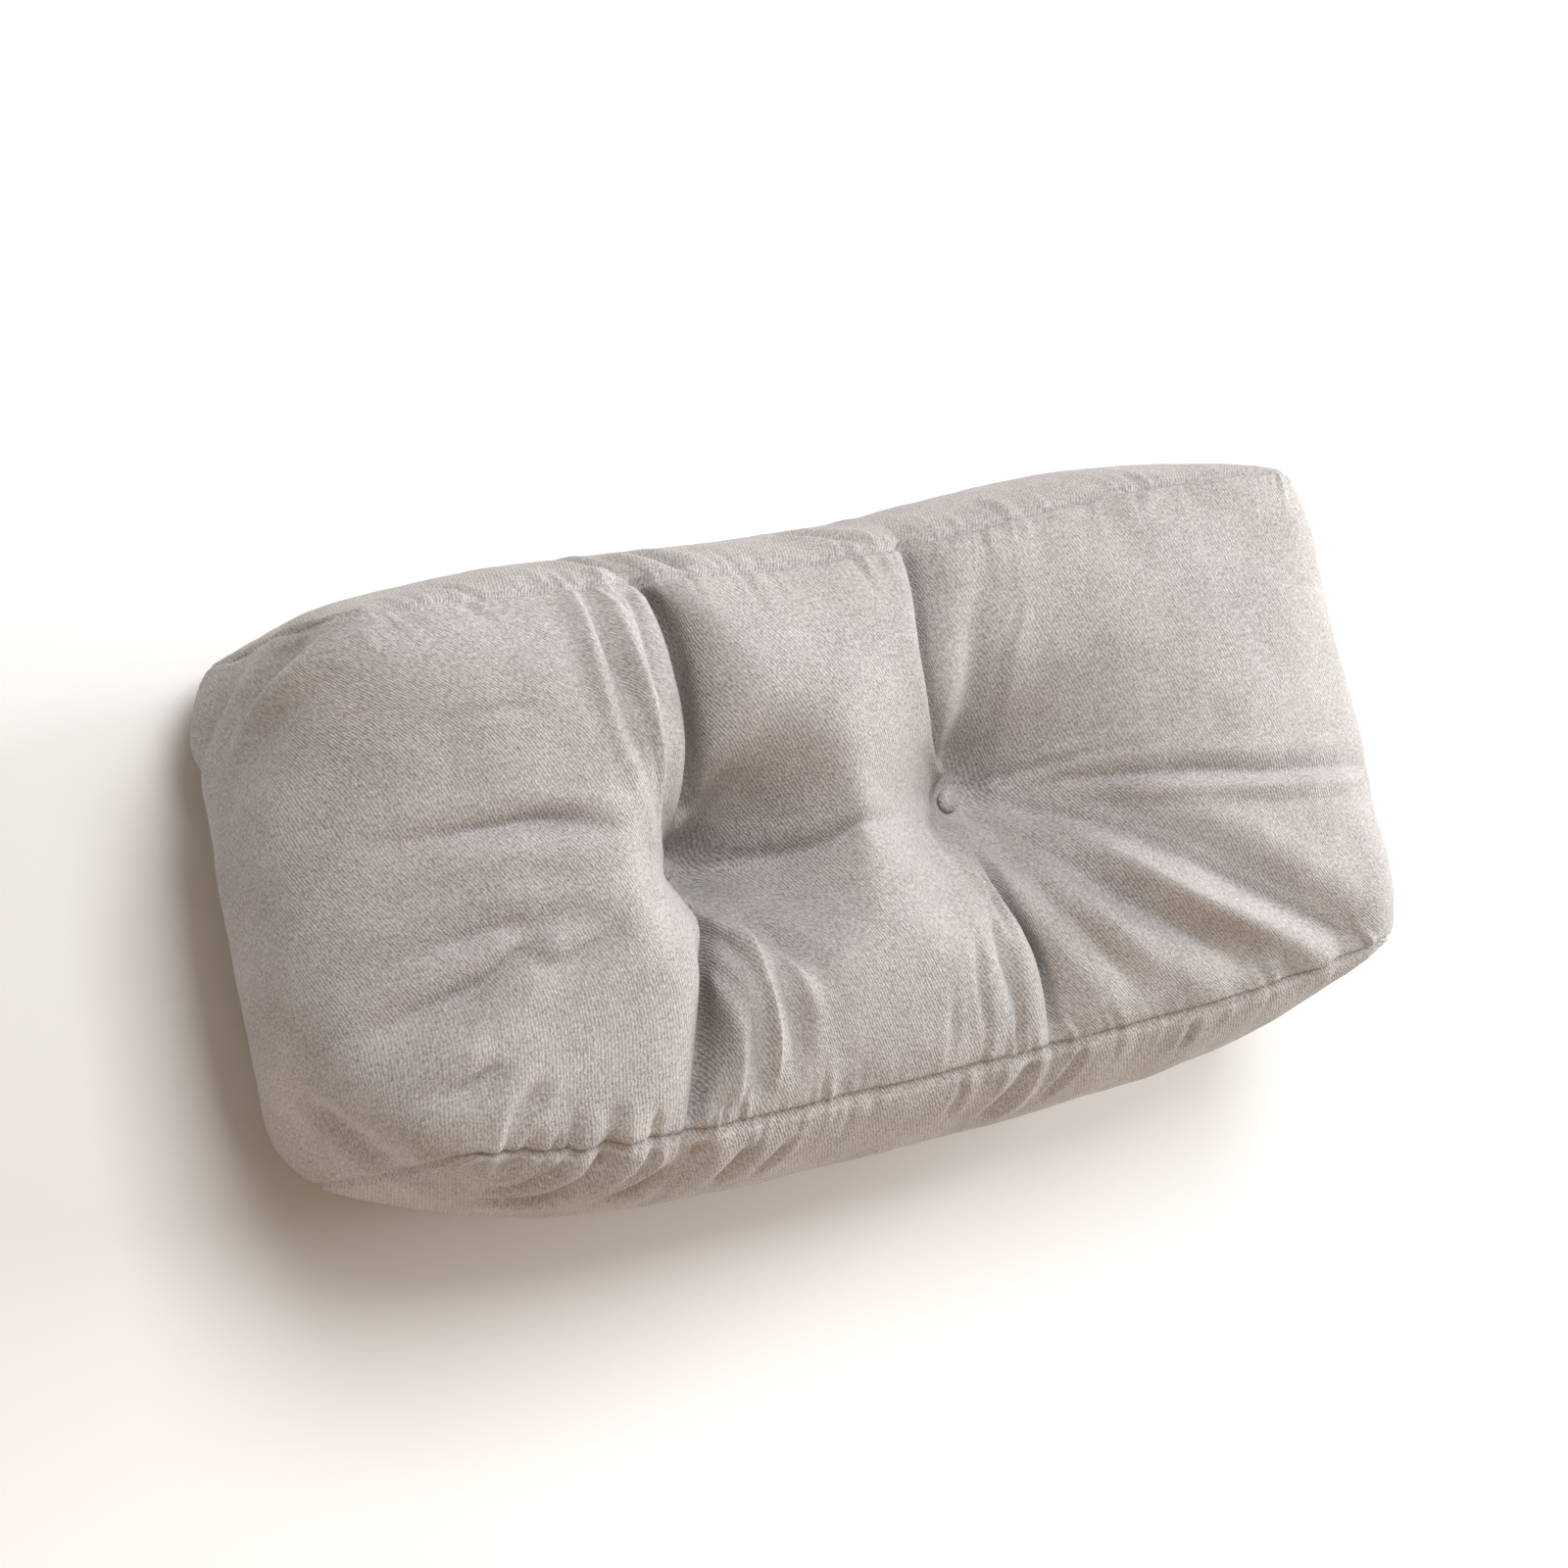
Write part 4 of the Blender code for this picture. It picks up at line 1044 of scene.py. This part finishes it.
def button_mesh(settings, name, middle, base_z):
    """A covered button: a dome with small pleats round its rim and a flat underside."""
    form = bmesh.new()
    edge = settings.rise * BUTTON_EDGE_SHARE
    rings = [(settings.radius * 0.90, base_z), (settings.radius, base_z + edge * 0.5)]
    for step in range(BUTTON_RINGS):
        angle = pi / 2 * step / BUTTON_RINGS
        height = base_z + edge + (settings.rise - edge) * sin(angle)
        rings.append((settings.radius * cos(angle) ** 0.9, height))
    loops = []
    for radius, height in rings:
        loop = []
        for side in range(BUTTON_SIDES):
            turn = 2 * pi * side / BUTTON_SIDES
            pleat = settings.pleat * sin(BUTTON_PLEATS * turn) * (radius / settings.radius) ** 4
            away = radius + pleat
            loop.append(form.verts.new((middle.x + away * cos(turn), middle.y + away * sin(turn), height)))
        loops.append(loop)
    for lower, upper in zip(loops[:-1], loops[1:]):
        for side in range(BUTTON_SIDES):
            after = (side + 1) % BUTTON_SIDES
            form.faces.new((lower[side], lower[after], upper[after], upper[side]))
    top = form.verts.new((middle.x, middle.y, base_z + settings.rise))
    for side in range(BUTTON_SIDES):
        form.faces.new((loops[-1][side], loops[-1][(side + 1) % BUTTON_SIDES], top))
    form.faces.new(list(reversed(loops[0])))
    mesh = bpy.data.meshes.new(name)
    form.to_mesh(mesh)
    form.free()
    return mesh


def add_area_light(row, power):
    """A square soft light that points at its target."""
    data = bpy.data.lights.new(row.name, "AREA")
    data.size = row.size
    data.energy = power
    data.color = row.colour
    light = bpy.data.objects.new(row.name, data)
    light.location = row.place
    light.rotation_mode = "QUATERNION"
    light.rotation_quaternion = (Vector(row.target) - Vector(row.place)).to_track_quat("-Z", "Y")
    bpy.context.scene.collection.objects.link(light)


def add_camera(shift):
    """The camera at the photograph's angle."""
    data = bpy.data.cameras.new("camera")
    data.lens = CAMERA_LENS_MM
    data.sensor_width = SENSOR_WIDTH_MM
    data.clip_start, data.clip_end = 0.05, 50.0
    camera = bpy.data.objects.new("camera", data)
    right, forward = Vector(CAMERA_RIGHT).normalized(), Vector(CAMERA_FORWARD).normalized()
    up = right.cross(forward)
    turn = Matrix((right, up, -forward)).transposed().to_4x4()
    camera.matrix_world = Matrix.Translation(Vector(CAMERA_PLACE) + Vector(shift)) @ turn
    bpy.context.scene.collection.objects.link(camera)
    bpy.context.scene.camera = camera


class LUMBAR_OT_add_cover(Operator):
    """Sew the brushed twill cover over the filled form"""

    bl_idname = "lumbar_pillow.add_cover"
    bl_label = "Add cover"

    def execute(self, context):
        scene = context.scene
        points, panels, places, _ = cover_form(scene.lumbar_cover)
        points = points + own_shift()
        faces, corners = cover_faces(points, panels, places)
        mesh = bpy.data.meshes.new("pillow_cover")
        mesh.from_pydata(points.tolist(), [], faces)
        mesh.update()
        write_places(mesh, corners)
        material = twill_material("brushed_twill", scene.lumbar_cloth, scene.lumbar_cloth.rib_strength)
        cover = add_piece("pillow_cover", mesh, material)
        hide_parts("pillow")
        return {"FINISHED"}


class LUMBAR_OT_add_stitches(Operator):
    """Run a row of stitches along the seam of each gusset"""

    bl_idname = "lumbar_pillow.add_stitches"
    bl_label = "Add stitches"

    def execute(self, context):
        scene = context.scene
        points, panels, _, normals = cover_form(scene.lumbar_cover)
        points = points + own_shift()
        material = twill_material("seam_thread", scene.lumbar_cloth, 0.0, 1.04)
        for name in ("top_gusset", "bottom_gusset"):
            rows, out = seam_loop(points, normals, panels[name][0])
            found, faces = stitch_ring(scene.lumbar_stitches, rows, out)
            mesh = bpy.data.meshes.new(name + "_stitches")
            mesh.from_pydata([list(point) for point in found], [], faces)
            mesh.update()
            write_places(mesh, np.array([found[loop.vertex_index][:2] for loop in mesh.loops]))
            add_piece(name + "_stitches", mesh, material)
        return {"FINISHED"}


class LUMBAR_OT_add_buttons(Operator):
    """Put a covered button on each seat"""

    bl_idname = "lumbar_pillow.add_buttons"
    bl_label = "Add buttons"

    def execute(self, context):
        scene = context.scene
        material = twill_material("button_twill", scene.lumbar_cloth, scene.lumbar_cloth.rib_strength * 0.6)
        for tuft in TUFTS:
            node = "button_" + tuft.name
            low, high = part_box(node)
            mesh = button_mesh(scene.lumbar_buttons, "covered_" + node, (low + high) / 2, low.z)
            rows = np.array([mesh.vertices[loop.vertex_index].co[:2] for loop in mesh.loops])
            write_places(mesh, rows)
            button = add_piece("covered_" + node, mesh, material)
            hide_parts(node)
        return {"FINISHED"}


class LUMBAR_OT_add_stage(Operator):
    """Lay the floor, hang the lights and set up the camera"""

    bl_idname = "lumbar_pillow.add_stage"
    bl_label = "Add stage"

    def execute(self, context):
        scene = context.scene
        stage = scene.lumbar_stage
        form = bmesh.new()
        bmesh.ops.create_grid(form, x_segments=2, y_segments=2, size=FLOOR_HALF_SIZE)
        mesh = bpy.data.meshes.new("floor")
        form.to_mesh(mesh)
        form.free()
        material = bpy.data.materials.new("pale_floor")
        material.use_nodes = True
        shader = material.node_tree.nodes["Principled BSDF"]
        shader.inputs["Base Color"].default_value = list(stage.floor_colour) + [1.0]
        shader.inputs["Roughness"].default_value = 0.9
        shader.inputs["Specular IOR Level"].default_value = 0.1
        mesh.materials.append(material)
        floor = bpy.data.objects.new("floor", mesh)
        scene.collection.objects.link(floor)
        world = bpy.data.worlds.new("studio")
        world.use_nodes = True
        background = world.node_tree.nodes["Background"]
        background.inputs["Color"].default_value = WORLD_COLOUR
        background.inputs["Strength"].default_value = stage.world_strength
        scene.world = world
        for row, power in zip(LIGHTS, (stage.key_power, stage.side_power, stage.warm_power)):
            add_area_light(row, power)
        add_camera(own_shift())
        scene.view_settings.view_transform = "Standard"
        return {"FINISHED"}


class LUMBAR_PT_panel(Panel):
    """Lists the pillow's settings and steps"""

    bl_idname = "LUMBAR_PT_panel"
    bl_label = "Lumbar pillow"
    bl_space_type = "VIEW_3D"
    bl_region_type = "UI"
    bl_category = "Lumbar pillow"

    def draw(self, context):
        layout = self.layout
        for group, title in SETTINGS:
            box = layout.box()
            box.label(text=title)
            settings = getattr(context.scene, group)
            for name in settings.bl_rna.properties.keys():
                if name not in ("rna_type", "name"):
                    box.prop(settings, name)
        for step in OPERATORS:
            layout.operator(step.bl_idname)


SETTINGS = (
    ("lumbar_cover", "Cover"),
    ("lumbar_cloth", "Cloth"),
    ("lumbar_stitches", "Stitches"),
    ("lumbar_buttons", "Buttons"),
    ("lumbar_stage", "Stage"),
)
GROUPS = (CoverSettings, ClothSettings, StitchSettings, ButtonSettings, StageSettings)
OPERATORS = (LUMBAR_OT_add_cover, LUMBAR_OT_add_stitches, LUMBAR_OT_add_buttons, LUMBAR_OT_add_stage)


def register():
    for group in GROUPS:
        bpy.utils.register_class(group)
    for (name, _), group in zip(SETTINGS, GROUPS):
        setattr(bpy.types.Scene, name, PointerProperty(type=group))
    for step in OPERATORS:
        bpy.utils.register_class(step)
    bpy.utils.register_class(LUMBAR_PT_panel)


def unregister():
    bpy.utils.unregister_class(LUMBAR_PT_panel)
    for step in reversed(OPERATORS):
        bpy.utils.unregister_class(step)
    for name, _ in SETTINGS:
        delattr(bpy.types.Scene, name)
    for group in reversed(GROUPS):
        bpy.utils.unregister_class(group)


def main():
    register()
    bpy.ops.lumbar_pillow.add_cover()
    bpy.ops.lumbar_pillow.add_stitches()
    bpy.ops.lumbar_pillow.add_buttons()
    bpy.ops.lumbar_pillow.add_stage()


if __name__ == "__main__":
    main()
